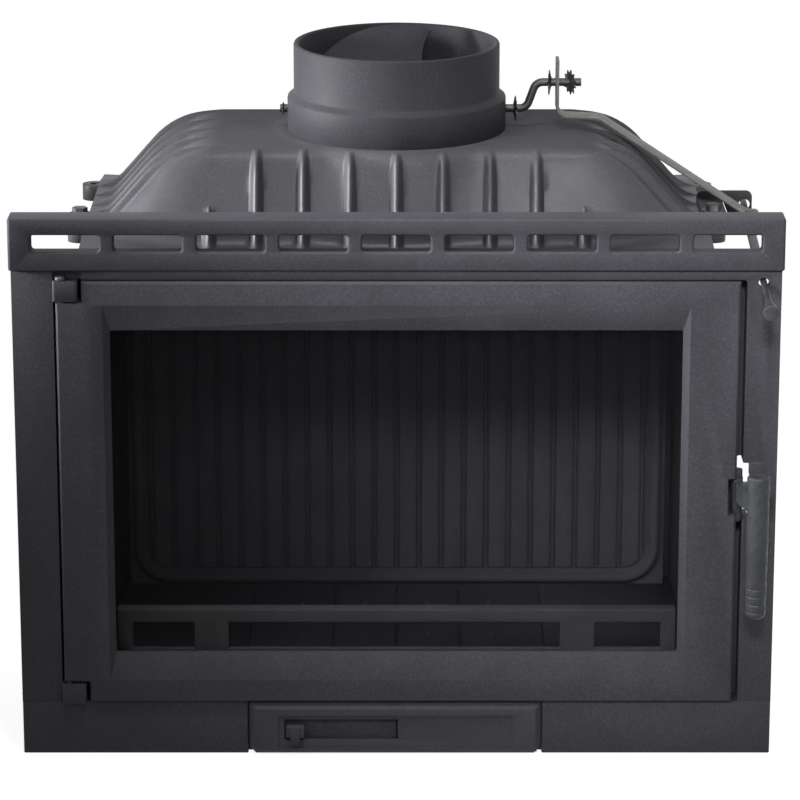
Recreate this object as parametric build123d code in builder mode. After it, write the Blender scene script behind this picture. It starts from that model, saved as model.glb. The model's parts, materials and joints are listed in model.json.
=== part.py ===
from build123d import *
from math import cos, radians, sin, tan
import os

os.makedirs("parts", exist_ok=True)

# Cast-iron fireplace insert, in millimetres.
# X runs to the right as seen from the room, Y runs to the back, Z runs up.
# The origin lies on the standing plane, directly below the flue axis.

# ------------------------------------------------------------ driving sizes
front_width = 700.0         # across the lintel
flue_setback = 194.0        # front face to flue axis
chamber_depth = 292.0       # from the frame's back to the back wall
plinth_height = 51.6
frame_top = 466.0           # top of the door surround, foot of the lintel
lintel_height = 48.0
dome_height = 75.0          # the flat top above the dome's flange
wall = 6.0                  # casting wall
touch = 0.05                # radial clearance of a running fit
loose = 0.3                 # clearance between parts that move past each other

# door opening and door
frame_depth = 30.0
seal_flange = 7.0           # thickness of the ring that the door seals on
left_strip, right_strip = 42.0, 39.0
door_header = 10.0          # band of the frame above the door
door_gap_left, door_gap_right = 2.4, 6.0
door_gap_below, door_gap_above = 1.0, 1.0
door_thickness = 23.0
door_proud = 5.0
stile = 48.0                # door edge to window, on the hinge side
bottom_rail, top_rail = 46.9, 47.0
rail_slope = 25.0           # width of the sloped band above and below the window
stile_slope = 6.0
slope_depth = 8.0
glass_thickness = 4.0
glass_cover = 13.0          # how far the pane reaches past the window, above and below
glass_cover_x = 8.0         # and at the sides
tape = 2.0
rope = 8.0                  # door seal rope
hinge_inset, hinge_lead = 4.5, 0.5  # axis inside the door's edge, and ahead of the frame
hinge_pin_r = 2.5
hinge_lug_height = 19.0

# lintel
lintel_proud = 4.0
lintel_face = 8.0
lintel_reach = 29.0
slot_count, slot_pitch = 9, 74.6
slot_length, slot_height, slot_corner = 62.0, 15.7, 3.0
slot_rise = 25.4            # middle of the slots above the lintel's foot
slot_depth, slot_band = 15.0, 4.0   # cast rim round the slots: its depth, and its reach past them

# firebox
chamber_inset = 66.0        # lintel end to the chamber's front corner
chamber_taper = 9.0
shell_rise = 4.0            # top of the walls above the door surround
floor_plate = 5.4
hearth_thickness = 6.0
fireback_gap = 26.0         # fireback's face to the back wall
fireback_inset = 13.0
fireback_drop = 26.0
flute_count, flute_pitch = 22, 22.0
flute_band = 16.0
grate_half, grate_setback, grate_gap = 141.0, 30.0, 8.0
guard_inset, guard_setback, guard_depth, guard_height = 23.0, 34.0, 14.0, 67.0

# dome
flange_lip_front, flange_lip_back = 14.0, 17.0
flange_thickness = 10.0
shoulder_width = 125.0      # flat top to the flange's end
top_half_y = 82.0
front_rib_pitch, front_rib_count = 43.0, 9
side_rib_pitch, side_rib_count = 40.0, 5
rib_thickness = 7.0
rib_height = 9.0

# flue and damper
spigot_r, spigot_wall, collar_step = 97.0, 5.0, 6.0
collar_height, spigot_height = 34.0, 83.0
damper_rise, damper_gap, damper_plate = 19.0, 4.0, 3.0
damper_rest = 48.0          # leaning angle of the disc at rest
scallop_r = 60.0            # bite out of the disc's edge
shaft_r = 4.0
crank_throw = 25.0

# pull rod
rod_inset, rod_drop, rod_tilt, rod_r = 14.6, 12.0, 6.5, 3.0
rod_back_y, rod_knob_reach = 38.0, 73.0
guide_y = 11.0
bar_width, bar_thickness = 20.0, 3.0

# handle
barrel_r, handle_pin_r = 5.5, 2.5
neck_swing = 3.2            # room beside the barrel for the neck as it turns
barrel_low, barrel_high = 235.0, 270.0
grip_side, grip_reach, grip_r = 15.0, 45.0, 10.5
grip_low, grip_high = 150.0, 286.0

# ash drawer and air slide
drawer_left, drawer_right = -137.0, 134.0
drawer_proud = 6.0
drawer_gap = 1.2
pan_back, pan_sheet = 80.0, 2.0
slide_left, slide_right = -104.5, 1.4
slide_low, slide_high = 14.7, 35.3
slide_travel = 80.0

# --------------------------------------------------------- derived positions
front_y = -flue_setback
frame_back = front_y + frame_depth
seal_y = frame_back - seal_flange
door_left, door_right = -front_width / 2 + left_strip, front_width / 2 - right_strip
door_front = front_y - door_proud
door_back = door_front + door_thickness
door_bottom, door_top = plinth_height + door_gap_below, frame_top - door_header
recess_left, recess_right = door_left - door_gap_left, door_right + door_gap_right
recess_top = door_top + door_gap_above
glass_half_width = -door_left - stile
glass_low, glass_high = door_bottom + bottom_rail, door_top - top_rail
panel_half = front_width / 2 - 2
floor_z = plinth_height + floor_plate
hearth_z = floor_z + hearth_thickness
lintel_top = frame_top + lintel_height
lintel_front = front_y - lintel_proud
drawer_front_y = front_y - drawer_proud

chamber_half_front = front_width / 2 - chamber_inset
chamber_half_back = chamber_half_front - chamber_taper
chamber_back = frame_back + chamber_depth
shell_top = frame_top + shell_rise
fireback_face = chamber_back - fireback_gap
fireback_half = chamber_half_back - fireback_inset
fireback_top = frame_top - fireback_drop
guard_half, guard_y = chamber_half_front - guard_inset, front_y + guard_setback
guard_top = hearth_z + guard_height
grate_front, grate_back = frame_back + grate_setback, fireback_face - grate_gap

flange_half = chamber_half_front + wall
flange_front, flange_back = frame_back + flange_lip_front, chamber_back + wall + flange_lip_back
dome_foot = shell_top + flange_thickness
dome_top = dome_foot + dome_height
top_half_x = flange_half - shoulder_width
spigot_bore_r, collar_r = spigot_r - spigot_wall, spigot_r + collar_step
damper_z, damper_r = dome_top + damper_rise, spigot_bore_r - damper_gap

# the upper and lower hinge lugs stand in notches of the door's left corners
hinge_x, hinge_y = door_left + hinge_inset, front_y - hinge_lead
lug_right = hinge_x + 15.5
notch_right = lug_right + 3.5
niche_y = hinge_y + 2 * hinge_pin_r + 0.7
# the seal rope passes inside those notches, and the frame's opening inside the rope
rope_inset = 9.0
rope_x = (notch_right + 7.5, door_right - rope_inset - 3)
rope_z = (door_bottom + rope_inset, door_top - rope_inset)
opening_x = (rope_x[0] + rope / 2 + 1, rope_x[1] - rope / 2 - 1)
opening_z = (rope_z[0] + rope / 2 + 1, rope_z[1] - rope / 2 - 1)

# the latch barrel closes the gap beside the door, the pull rod passes the strip beyond it
barrel_x, barrel_y = door_right + 1, front_y + 4
grip_x, grip_y = barrel_x + grip_side, front_y - grip_reach
rod_x, rod_front_z = recess_right + rod_inset, frame_top - rod_drop
rod_knob_y = front_y - rod_knob_reach


def front_plane(y):
    """Plane parallel to the front, at depth y, facing the room."""
    return Plane.XZ.offset(-y)


def block(x, y, z, mode=Mode.ADD):
    """Box between two limits on each axis."""
    with Locations(((x[0] + x[1]) / 2, (y[0] + y[1]) / 2, (z[0] + z[1]) / 2)):
        Box(x[1] - x[0], y[1] - y[0], z[1] - z[0], mode=mode)


def panel(x, z, corner=0.0):
    """Rectangle between two limits in X and Z, on a front-parallel sketch."""
    with Locations(((x[0] + x[1]) / 2, (z[0] + z[1]) / 2)):
        if corner:
            RectangleRounded(x[1] - x[0], z[1] - z[0], corner)
        else:
            Rectangle(x[1] - x[0], z[1] - z[0])


def rod_z(y):
    """Height of the pull rod's axis at depth y."""
    return rod_front_z + (y - front_y) * tan(radians(rod_tilt))


def rod_plane(y):
    """Plane square to the pull rod, facing the room."""
    lean = radians(rod_tilt)
    return Plane(origin=(rod_x, y, rod_z(y)), x_dir=(1, 0, 0), z_dir=(0, -cos(lean), -sin(lean)))


def save(piece, name):
    """Label a finished piece and write it out."""
    piece.part.label = name
    export_step(piece.part, "parts/" + name + ".step")


# -------------------------------------------------------------------- plinths
def make_plinth(x, name):
    """Hollow front plinth, open at the back and below."""
    with BuildPart() as plinth:
        with BuildSketch(front_plane(front_y)):
            panel(x, (0, plinth_height))
        extrude(amount=-frame_depth)
        with BuildSketch(front_plane(frame_back)):
            panel((x[0] + wall, x[1] - wall), (-wall, plinth_height - wall))
        extrude(amount=frame_depth - wall, mode=Mode.SUBTRACT)
        fillet(plinth.edges().filter_by(Axis.Z).group_by(Axis.Y)[0], 1.5)
    save(plinth, name)


make_plinth((-panel_half, drawer_left - drawer_gap), "plinth_left")
make_plinth((drawer_right + drawer_gap, panel_half), "plinth_right")

# ---------------------------------------------------------------- front frame
notch_x, notch_z = (barrel_x - 0.5, barrel_x + 25), (barrel_low - 5, barrel_high + 14)

with BuildPart() as front_frame:
    with BuildSketch(front_plane(front_y)):
        panel((-panel_half, panel_half), (plinth_height, frame_top))
    extrude(amount=-frame_depth)
    # the recess that the door closes into, open at its foot
    with BuildSketch(front_plane(front_y)):
        panel((recess_left, recess_right), (0, recess_top))
    extrude(amount=-(seal_y - front_y), mode=Mode.SUBTRACT)
    # the way into the fire chamber
    with BuildSketch(front_plane(frame_back)):
        panel(opening_x, opening_z, 14)
    extrude(amount=seal_flange, mode=Mode.SUBTRACT)
    # side strips are thin castings, hollow from behind
    with BuildSketch(front_plane(frame_back)):
        panel((-panel_half + wall, recess_left - wall), (floor_z, frame_top - 4))
        panel((recess_right + wall, panel_half - wall), (floor_z, frame_top - 4))
    extrude(amount=frame_depth - wall, mode=Mode.SUBTRACT)
    fillet(front_frame.edges().filter_by(Axis.Y).sort_by_distance((recess_right, front_y, recess_top))[0], 4)
    # niche above the upper hinge, for the head of its pin
    block((recess_left, notch_right), (front_y, niche_y), (recess_top - 1, frame_top), Mode.SUBTRACT)
    # smoke shelf that carries the front edge of the dome
    block((-flange_half - 10, flange_half + 10), (frame_back - wall, frame_back), (frame_top, shell_top))
    block((-flange_half - 10, flange_half + 10), (frame_back, flange_front + wall), (shell_top - wall, shell_top))
    # latch notch and the hole for the pull rod
    with BuildSketch(front_plane(front_y)):
        panel(notch_x, notch_z, 4)
    extrude(amount=-frame_depth, mode=Mode.SUBTRACT)
    with BuildSketch(rod_plane(front_y)):
        Circle(rod_r + 1.8)
    extrude(amount=-2 * wall, both=True, mode=Mode.SUBTRACT)
save(front_frame, "front_frame")

# --------------------------------------------------------------------- lintel
with BuildPart() as lintel:
    with BuildSketch(Plane.YZ.offset(-front_width / 2)):
        with BuildLine():
            Polyline(
                (lintel_front, frame_top),
                (lintel_front + lintel_reach - 7, frame_top),
                (lintel_front + lintel_reach - 7, frame_top + 5),
                (lintel_front + lintel_face, frame_top + 5),
                (lintel_front + lintel_face, lintel_top - wall),
                (lintel_front + lintel_reach, lintel_top - wall),
                (lintel_front + lintel_reach, lintel_top),
                (lintel_front, lintel_top),
                close=True,
            )
        make_face()
    extrude(amount=front_width)
    for end in (-1, 1):
        inner = front_width / 2 - wall
        block(
            sorted((end * inner, end * front_width / 2)),
            (lintel_front, lintel_front + lintel_reach),
            (frame_top, lintel_top),
        )
    slot_reach = slot_pitch * (slot_count - 1) / 2 + slot_length / 2 + slot_band
    slot_middle, slot_tall = frame_top + slot_rise, slot_height / 2 + slot_band
    block(
        (-slot_reach, slot_reach),
        (lintel_front + lintel_face, lintel_front + slot_depth),
        (slot_middle - slot_tall, slot_middle + slot_tall),
    )
    fillet(lintel.edges().filter_by(Axis.Z).group_by(Axis.Y)[0], 3)
    front_edges = lintel.edges().filter_by(Axis.X).group_by(Axis.Y)[0]
    chamfer(front_edges, 1.2)
    with BuildSketch(front_plane(lintel_front)):
        with Locations((0, slot_middle)):
            with GridLocations(slot_pitch, 1, slot_count, 1):
                RectangleRounded(slot_length, slot_height, slot_corner)
    extrude(amount=-slot_depth, mode=Mode.SUBTRACT)
    face = lintel.faces().filter_by(Axis.Y).sort_by(Axis.Y)[0]
    chamfer([edge for wire in face.inner_wires() for edge in wire.edges()], 1.4)
save(lintel, "lintel")

# two screws a side hold the lintel down on the frame
lintel_screw_y = lintel_front + lintel_face + 6
with BuildPart() as lintel_screws:
    with BuildSketch(Plane.XY.offset(frame_top + 5)):
        with Locations((0, lintel_screw_y)):
            with GridLocations(front_width - 70, 1, 2, 1):
                RegularPolygon(5, 6)
    extrude(amount=4)
save(lintel_screws, "lintel_screws")

# ------------------------------------------------------------- firebox walls
ear_y_front, ear_y_back = -39.0, flange_back - 20
ear_x, ear_r = flange_half + 8, 14.0
dome_ears = [(side * ear_x, y) for side in (-1, 1) for y in (ear_y_front, ear_y_back)]
bolt_r = 4.0
# the smoke baffle rests on round pegs, and rises towards the room
baffle_back = (fireback_face - 6, fireback_top - 72)
baffle_front = (frame_back + 92, fireback_top - 12)
baffle_thickness = 8.0
peg_r = 5.0


def wall_x(y):
    """Half width inside the chamber at depth y."""
    share = (y - frame_back) / (chamber_back - frame_back)
    return chamber_half_front + share * (chamber_half_back - chamber_half_front)


def baffle_point(share, below=0.0):
    """Point (y, z) along the baffle's underside, moved square to it by below."""
    dy, dz = baffle_front[0] - baffle_back[0], baffle_front[1] - baffle_back[1]
    length = (dy * dy + dz * dz) ** 0.5
    y = baffle_back[0] + share * dy - below * dz / length
    z = baffle_back[1] + share * dz + below * dy / length
    return y, z


def make_side_wall(side, name):
    """Tapered side wall with a front flange, cooling fins, bolt lugs and baffle pegs."""
    with BuildPart() as side_wall:
        with BuildSketch(Plane.XY.offset(floor_z)):
            with BuildLine():
                Polyline(
                    (side * chamber_half_front, frame_back),
                    (side * (chamber_half_front + 20), frame_back),
                    (side * (chamber_half_front + 20), frame_back + wall),
                    (side * (chamber_half_front + wall), frame_back + wall),
                    (side * (chamber_half_back + wall), chamber_back),
                    (side * chamber_half_back, chamber_back),
                    close=True,
                )
            make_face()
        extrude(amount=shell_top - wall - floor_z)
        # the front flange stays below the smoke shelf, the wall itself reaches the dome
        with BuildSketch(Plane.XY.offset(shell_top - wall)):
            with BuildLine():
                start = flange_front + wall
                Polyline(
                    (side * wall_x(start), start),
                    (side * (wall_x(start) + wall), start),
                    (side * (chamber_half_back + wall), chamber_back),
                    (side * chamber_half_back, chamber_back),
                    close=True,
                )
            make_face()
        extrude(amount=wall)
        fin_count = 6
        for number in range(fin_count):
            y = frame_back + 50 + number * (chamber_back - frame_back - 80) / (fin_count - 1)
            root, tip = wall_x(y) + wall - 1, wall_x(y) + wall + 9
            block(sorted((side * root, side * tip)), (y - 2.5, y + 2.5), (floor_z + 20, shell_top - 30))
        for y in (ear_y_front, ear_y_back):
            with BuildSketch(Plane.XY.offset(shell_top - 15)):
                with Locations((side * ear_x, y)):
                    Circle(ear_r - 2)
                panel(sorted((side * (wall_x(y) + 2), side * ear_x)), (y - ear_r + 2, min(y + ear_r - 2, chamber_back)))
            extrude(amount=15)
            with Locations((side * ear_x, y, shell_top)):
                Cylinder(bolt_r + 0.3, 40, mode=Mode.SUBTRACT)
        for share in (0.18, 0.82):
            y, z = baffle_point(share, peg_r + 0.1)
            reach = wall_x(y) - fireback_half + 14
            with Locations(Location((side * (wall_x(y) + 2 - reach / 2), y, z), (0, 90, 0))):
                Cylinder(peg_r, reach)
    save(side_wall, name)


make_side_wall(-1, "left_side_wall")
make_side_wall(1, "right_side_wall")

back_half = chamber_half_back + wall
with BuildPart() as back_wall:
    with BuildSketch(front_plane(chamber_back)):
        panel((-back_half, back_half), (floor_z, shell_top))
    extrude(amount=-wall)
    with BuildSketch(front_plane(chamber_back + wall)):
        with Locations((0, (floor_z + shell_top) / 2)):
            with GridLocations(52, 1, 9, 1):
                Rectangle(5, shell_top - floor_z - 60)
    extrude(amount=-9)
    # lugs that the fireback leans on
    for x in (-180, 180):
        for z in (120, 380):
            block((x - 12, x + 12), (fireback_face + 14, chamber_back), (z - 8, z + 8))
save(back_wall, "back_wall")

frame_bolt_x = chamber_half_front + 13
with BuildPart() as frame_bolts:
    with BuildSketch(front_plane(frame_back + wall)):
        with Locations((0, 265)):
            with GridLocations(2 * frame_bolt_x, 280, 2, 2):
                RegularPolygon(6.5, 6)
    extrude(amount=-5)
save(frame_bolts, "frame_bolts")

# ------------------------------------------------------------ floor and base
foot_r = 18.0
with BuildPart() as base_plate:
    with BuildSketch(Plane.XY.offset(plinth_height)):
        with BuildLine():
            Polyline(
                (-chamber_half_front - wall, frame_back),
                (chamber_half_front + wall, frame_back),
                (back_half, chamber_back + wall),
                (-back_half, chamber_back + wall),
                close=True,
            )
        make_face()
        # ash falls through here into the pan
        with Locations((0, (grate_front + grate_back) / 2)):
            Rectangle(2 * grate_half - 32, grate_back - grate_front - 28, mode=Mode.SUBTRACT)
    extrude(amount=floor_plate)
    with BuildSketch():
        for side in (-1, 1):
            with Locations((side * (back_half - 30), chamber_back - 22), (side * (back_half - 30), -60)):
                Circle(foot_r)
    extrude(amount=plinth_height)
save(base_plate, "base_plate")

housing_half, housing_sheet = drawer_right - 3, 2.5
housing_front, housing_back = front_y + 3, pan_back + 14
with BuildPart() as ash_housing:
    with BuildSketch(front_plane(housing_front)):
        with BuildLine():
            Polyline(
                (-housing_half, plinth_height),
                (-housing_half, 0),
                (housing_half, 0),
                (housing_half, plinth_height),
                (housing_half - housing_sheet, plinth_height),
                (housing_half - housing_sheet, housing_sheet),
                (-housing_half + housing_sheet, housing_sheet),
                (-housing_half + housing_sheet, plinth_height),
                close=True,
            )
        make_face()
    extrude(amount=-(housing_back - housing_front))
    block((-housing_half, housing_half), (housing_back - housing_sheet, housing_back), (0, plinth_height))
save(ash_housing, "ash_housing")

grate_fit = 1.0
with BuildPart() as hearth_plate:
    with BuildSketch(Plane.XY.offset(floor_z)):
        with BuildLine():
            front, back = frame_back + 1, chamber_back - 1
            Polyline(
                (-wall_x(front) + 1, front),
                (wall_x(front) - 1, front),
                (wall_x(back) - 1, back),
                (-wall_x(back) + 1, back),
                close=True,
            )
        make_face()
        with Locations((0, (grate_front + grate_back) / 2)):
            Rectangle(
                2 * (grate_half + grate_fit), grate_back - grate_front + 2 * grate_fit, mode=Mode.SUBTRACT
            )
    extrude(amount=hearth_thickness)
save(hearth_plate, "hearth_plate")

# The grate is one casting in four fields, each with air slots and pairs of nubs.
grate_top = hearth_z + 1
field = 2 * grate_half / 4 - 10
with BuildPart() as grate:
    with BuildSketch(Plane.XY.offset(floor_z)):
        with Locations((0, (grate_front + grate_back) / 2)):
            RectangleRounded(2 * grate_half, grate_back - grate_front, 6)
    extrude(amount=grate_top - floor_z)
    with BuildSketch(Plane.XY.offset(floor_z)):
        with Locations((0, (grate_front + grate_back) / 2)):
            with GridLocations(field + 1, 62, 4, 3):
                with GridLocations(20, 1, 3, 1):
                    SlotCenterToCenter(40, 8, rotation=90)
    extrude(amount=grate_top - floor_z, mode=Mode.SUBTRACT)
    with BuildSketch(Plane.XY.offset(grate_top - 2)):
        for x in (-field - 1, 0, field + 1):
            with Locations((x, (grate_front + grate_back) / 2)):
                Rectangle(2, grate_back - grate_front)
    extrude(amount=2, mode=Mode.SUBTRACT)
    for y in (15, 47):
        with Locations((0, y, grate_top + 2)):
            with GridLocations(field + 1, 1, 4, 1):
                Box(9, 9, 6)
save(grate, "grate")

# ------------------------------------------------------------------- fireback
# Vertical flutes: each flat band ends in a groove with a thin bead along its middle.
fireback_thickness = 14.0
groove_width, groove_depth, bead = 6.0, 3.0, 2.0
with BuildPart() as fireback:
    with BuildSketch(front_plane(fireback_face)):
        panel((-fireback_half, fireback_half), (hearth_z, fireback_top), 12)
    extrude(amount=-fireback_thickness)
    fillet(fireback.faces().sort_by(Axis.Y)[0].edges(), 2.5)
    with BuildSketch(front_plane(fireback_face)):
        with Locations((0, (hearth_z + fireback_top) / 2)):
            with GridLocations(flute_pitch, 1, flute_count, 1):
                Rectangle(groove_width, fireback_top - hearth_z - 2 * flute_band)
    extrude(amount=-groove_depth, mode=Mode.SUBTRACT)
    with BuildSketch(front_plane(fireback_face + groove_depth)):
        with Locations((0, (hearth_z + fireback_top) / 2)):
            with GridLocations(flute_pitch, 1, flute_count, 1):
                Rectangle(bead, fireback_top - hearth_z - 2 * flute_band)
    extrude(amount=groove_depth - 1)
save(fireback, "fireback")

# ------------------------------------------------------------------ log guard
bar_height, strip_height = 13.0, 28.0
with BuildPart() as log_guard:
    with BuildSketch(front_plane(guard_y)):
        panel((-guard_half, guard_half), (hearth_z, hearth_z + strip_height))
        panel((-guard_half, guard_half), (guard_top - bar_height, guard_top))
        for x in (-173, 169):
            panel((x - 16, x + 16), (hearth_z, guard_top))
        for x in (-guard_half, guard_half - 14):
            panel((x, x + 14), (hearth_z, guard_top))
    extrude(amount=-7)
    block((-guard_half, guard_half), (guard_y, guard_y + guard_depth), (guard_top - 7, guard_top))
    fillet(log_guard.edges().filter_by(Axis.X).group_by(Axis.Z)[-1], 2)
    for x in (-guard_half, guard_half - 14):
        block((x, x + 14), (guard_y, guard_y + 26), (hearth_z, hearth_z + 7))
save(log_guard, "log_guard")

# --------------------------------------------------------------- smoke baffle
baffle_half = fireback_half - 2
with BuildPart() as smoke_baffle:
    with BuildSketch(Plane.YZ.offset(-baffle_half)):
        with BuildLine():
            Polyline(
                baffle_point(0),
                baffle_point(1),
                baffle_point(1, -baffle_thickness),
                baffle_point(0, -baffle_thickness),
                close=True,
            )
        make_face()
    extrude(amount=2 * baffle_half)
save(smoke_baffle, "smoke_baffle")

# ----------------------------------------------------------------------- dome
# A flank leaves the flat top over a convex crest, runs straight at its lean,
# and meets the flange in a concave foot. Sections of rounded rectangles
# between the flanks give the soft hips.
side_lean, side_crest, side_foot = radians(48.6), 77.0, 40.0
front_lean, front_crest, front_foot = radians(66.9), 18.0, 12.0
hip_r = 40.0
flue_hole_r = spigot_bore_r + 1.5
boss_r, boss_height = collar_r + 1.5, 22.0


def flank(z, lean, crest, foot):
    """Outward reach of a flank at height z, counted from the edge of the flat top."""
    drop, height = dome_top - z, dome_top - dome_foot
    crest_drop, foot_rise = crest * (1 - cos(lean)), foot * (1 - cos(lean))
    if drop <= crest_drop:
        return max(0.0, 2 * crest * drop - drop * drop) ** 0.5
    run = crest * sin(lean) + (min(drop, height - foot_rise) - crest_drop) / tan(lean)
    if drop <= height - foot_rise:
        return run
    rise = max(0.0, height - drop)
    return run + foot * sin(lean) - (2 * foot * rise - rise * rise) ** 0.5


def side_reach(z):
    return top_half_x + flank(z, side_lean, side_crest, side_foot)


def front_reach(z):
    return top_half_y + flank(z, front_lean, front_crest, front_foot)


crest_levels = [dome_top - side_crest * (1 - cos(side_lean * part / 4)) for part in range(5)]
foot_levels = [dome_foot + side_foot * (1 - cos(side_lean * part / 3)) for part in range(3, -1, -1)]


with BuildPart() as outer_form:
    for z in crest_levels + foot_levels:
        with BuildSketch(Plane.XY.offset(z)):
            RectangleRounded(2 * side_reach(z), 2 * front_reach(z), hip_r)
    loft(ruled=True)

with BuildPart() as inner_form:
    for z in crest_levels + foot_levels:
        with BuildSketch(Plane.XY.offset(z - wall)):
            RectangleRounded(2 * (side_reach(z) - 5), 2 * (front_reach(z) - 5), hip_r)
    loft(ruled=True)
    lowest = inner_form.faces().sort_by(Axis.Z)[0]
    extrude(lowest, amount=flange_thickness)

with BuildPart() as dome:
    add(outer_form.part)
    with BuildSketch(Plane.XY.offset(shell_top)):
        with Locations((0, (flange_front + flange_back) / 2)):
            RectangleRounded(2 * flange_half, flange_back - flange_front, 10)
        with Locations(*dome_ears):
            Circle(ear_r)
    extrude(amount=flange_thickness)
    # round boss that the spigot's collar stands on
    with BuildSketch(Plane.XY.offset(dome_top)):
        Circle(boss_r)
    extrude(amount=-boss_height)
    # front and back ribs, full ones under the flat top and a short one at each end
    for number in range(front_rib_count):
        x = (number - (front_rib_count - 1) / 2) * front_rib_pitch
        crest = dome_foot + 24 if abs(x) > top_half_x else dome_top - 2
        middle = (crest + dome_foot) / 2
        for side in (-1, 1):
            with BuildSketch(Plane.YZ.offset(x - rib_thickness / 2)):
                with BuildLine():
                    head = (side * front_reach(crest), crest)
                    foot = (side * (front_reach(dome_foot) + rib_height), dome_foot)
                    ThreePointArc(head, (side * (front_reach(middle) + rib_height), middle), foot)
                    Polyline(foot, (side * front_reach(dome_foot) - side * 20, dome_foot - 1), head)
                make_face()
            extrude(amount=rib_thickness)
    # ribs over both shoulders
    for number in range(side_rib_count):
        y = (number - (side_rib_count - 1) / 2) * side_rib_pitch
        for side in (-1, 1):
            with BuildSketch(front_plane(y - rib_thickness / 2)):
                with BuildLine():
                    head = (side * (top_half_x - 15), dome_top)
                    foot = (side * (side_reach(dome_foot) - 9), dome_foot)
                    shoulder = (side * (top_half_x + 45), dome_top + 1)
                    FilletPolyline(head, shoulder, foot, radius=70)
                    Polyline(foot, (side * (top_half_x + 75), dome_foot - 1), head)
                make_face()
            extrude(amount=-rib_thickness)
    add(inner_form.part, mode=Mode.SUBTRACT)
    with Locations((0, 0, dome_top)):
        Cylinder(flue_hole_r, 80, mode=Mode.SUBTRACT)
    for x, y in dome_ears:
        with Locations((x, y, shell_top)):
            Cylinder(bolt_r + 0.3, 40, mode=Mode.SUBTRACT)
save(dome, "dome")


def disc(x, y, z, radius, height):
    """Upright cylinder standing at height z."""
    with Locations((x, y, z)):
        Cylinder(radius, height, align=(Align.CENTER, Align.CENTER, Align.MIN))


def hexagon(x, y, z, radius, height):
    """Upright hexagonal prism standing at height z."""
    with BuildSketch(Plane.XY.offset(z), mode=Mode.PRIVATE) as outline:
        with Locations((x, y)):
            RegularPolygon(radius, 6)
    extrude(outline.sketch, amount=height)


def hex_bolt(x, y, seat, shank_end):
    """Bolt with its washer on the seat, threaded into the lug below."""
    disc(x, y, shank_end, bolt_r, seat - shank_end + 3)
    disc(x, y, seat, 11, 1.6)
    hexagon(x, y, seat + 1.6, 7.5, 5.5)


# the right front bolt also holds the foot of the guide bracket
ear_under = shell_top - 15
bracket_sheet = 3.0
guide_ear = (ear_x, ear_y_front)
with BuildPart() as dome_bolts:
    for x, y in dome_ears:
        seat = dome_foot + (bracket_sheet if (x, y) == guide_ear else 0)
        hex_bolt(x, y, seat, ear_under)
save(dome_bolts, "dome_bolts")

# guide plate for the pull rod, bent up from a foot under the bolt
guide_top, guide_right = dome_foot + 11, rod_x + 7.4
foot_half = 12.0
with BuildPart() as guide_bracket:
    left = ear_x - foot_half
    block((left, ear_x + foot_half), (ear_y_front - foot_half, guide_y + bracket_sheet),
          (dome_foot, dome_foot + bracket_sheet))
    with BuildSketch(front_plane(guide_y)):
        with BuildLine():
            Polyline(
                (left, dome_foot),
                (left, guide_top),
                (guide_right, guide_top),
                (guide_right, rod_z(guide_y) - 12),
                (rod_x - 14, rod_z(guide_y) - 12),
                (rod_x - 20, dome_foot),
                close=True,
            )
        make_face()
    extrude(amount=-bracket_sheet)
    fillet(guide_bracket.edges().filter_by(Axis.Y).group_by(Axis.Z)[-1], 6)
    with Locations(rod_plane(guide_y).location):
        Cylinder(rod_r + 2.5, 30, mode=Mode.SUBTRACT)
    with Locations((*guide_ear, dome_foot)):
        Cylinder(bolt_r + 0.3, 20, mode=Mode.SUBTRACT)
save(guide_bracket, "guide_bracket")

# --------------------------------------------------------------- flue spigot
spigot_top = dome_top + spigot_height
lip = 6.0
with BuildPart() as flue_spigot:
    with BuildSketch(Plane.XZ):
        with BuildLine():
            Polyline(
                (spigot_bore_r, dome_top - lip),
                (flue_hole_r - 0.5, dome_top - lip),
                (flue_hole_r - 0.5, dome_top),
                (collar_r, dome_top),
                (collar_r, dome_top + collar_height - 3),
                (spigot_r, dome_top + collar_height + 2),
                (spigot_r, spigot_top - 1.5),
                (spigot_r - 1.5, spigot_top),
                (spigot_bore_r, spigot_top),
                close=True,
            )
        make_face()
    revolve(axis=Axis.Z)
    # bores for the damper shaft
    with Locations(Location((0, 0, damper_z), (0, 90, 0))):
        Cylinder(shaft_r + touch, 2 * collar_r + 20, mode=Mode.SUBTRACT)
save(flue_spigot, "flue_spigot")

# heads of the four bolts that reach up into the collar from inside the dome
with BuildPart() as spigot_bolts:
    with BuildSketch(Plane.XY.offset(dome_top - wall)):
        for start in (-35, 145):
            with PolarLocations(flue_hole_r + 7, 2, start_angle=start, angular_range=140):
                RegularPolygon(5.5, 6)
    extrude(amount=-4.5)
save(spigot_bolts, "spigot_bolts")

# --------------------------------------------------------------------- damper
lean = radians(damper_rest)
disc_plane = Plane(origin=(0, 0, damper_z), x_dir=(1, 0, 0), z_dir=(0, -sin(lean), cos(lean)))
with BuildPart() as damper_disc:
    with BuildSketch(disc_plane.offset(shaft_r)):
        Circle(damper_r)
        with Locations((damper_r - 4, 50)):
            Circle(scallop_r, mode=Mode.SUBTRACT)
    extrude(amount=damper_plate)
    with BuildSketch(disc_plane.offset(shaft_r)):
        with Locations((-60, 0), (-8, 0)):
            Circle(2.2)
    extrude(amount=damper_plate, mode=Mode.SUBTRACT)
save(damper_disc, "damper_disc")

with BuildPart() as damper_screws:
    with BuildSketch(disc_plane.offset(shaft_r)):
        with Locations((-60, 0), (-8, 0)):
            Circle(2.2)
    extrude(amount=damper_plate)
    with BuildSketch(disc_plane.offset(shaft_r + damper_plate)):
        with Locations((-60, 0), (-8, 0)):
            Circle(4.5)
    extrude(amount=2.5)
save(damper_screws, "damper_screws")

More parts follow.
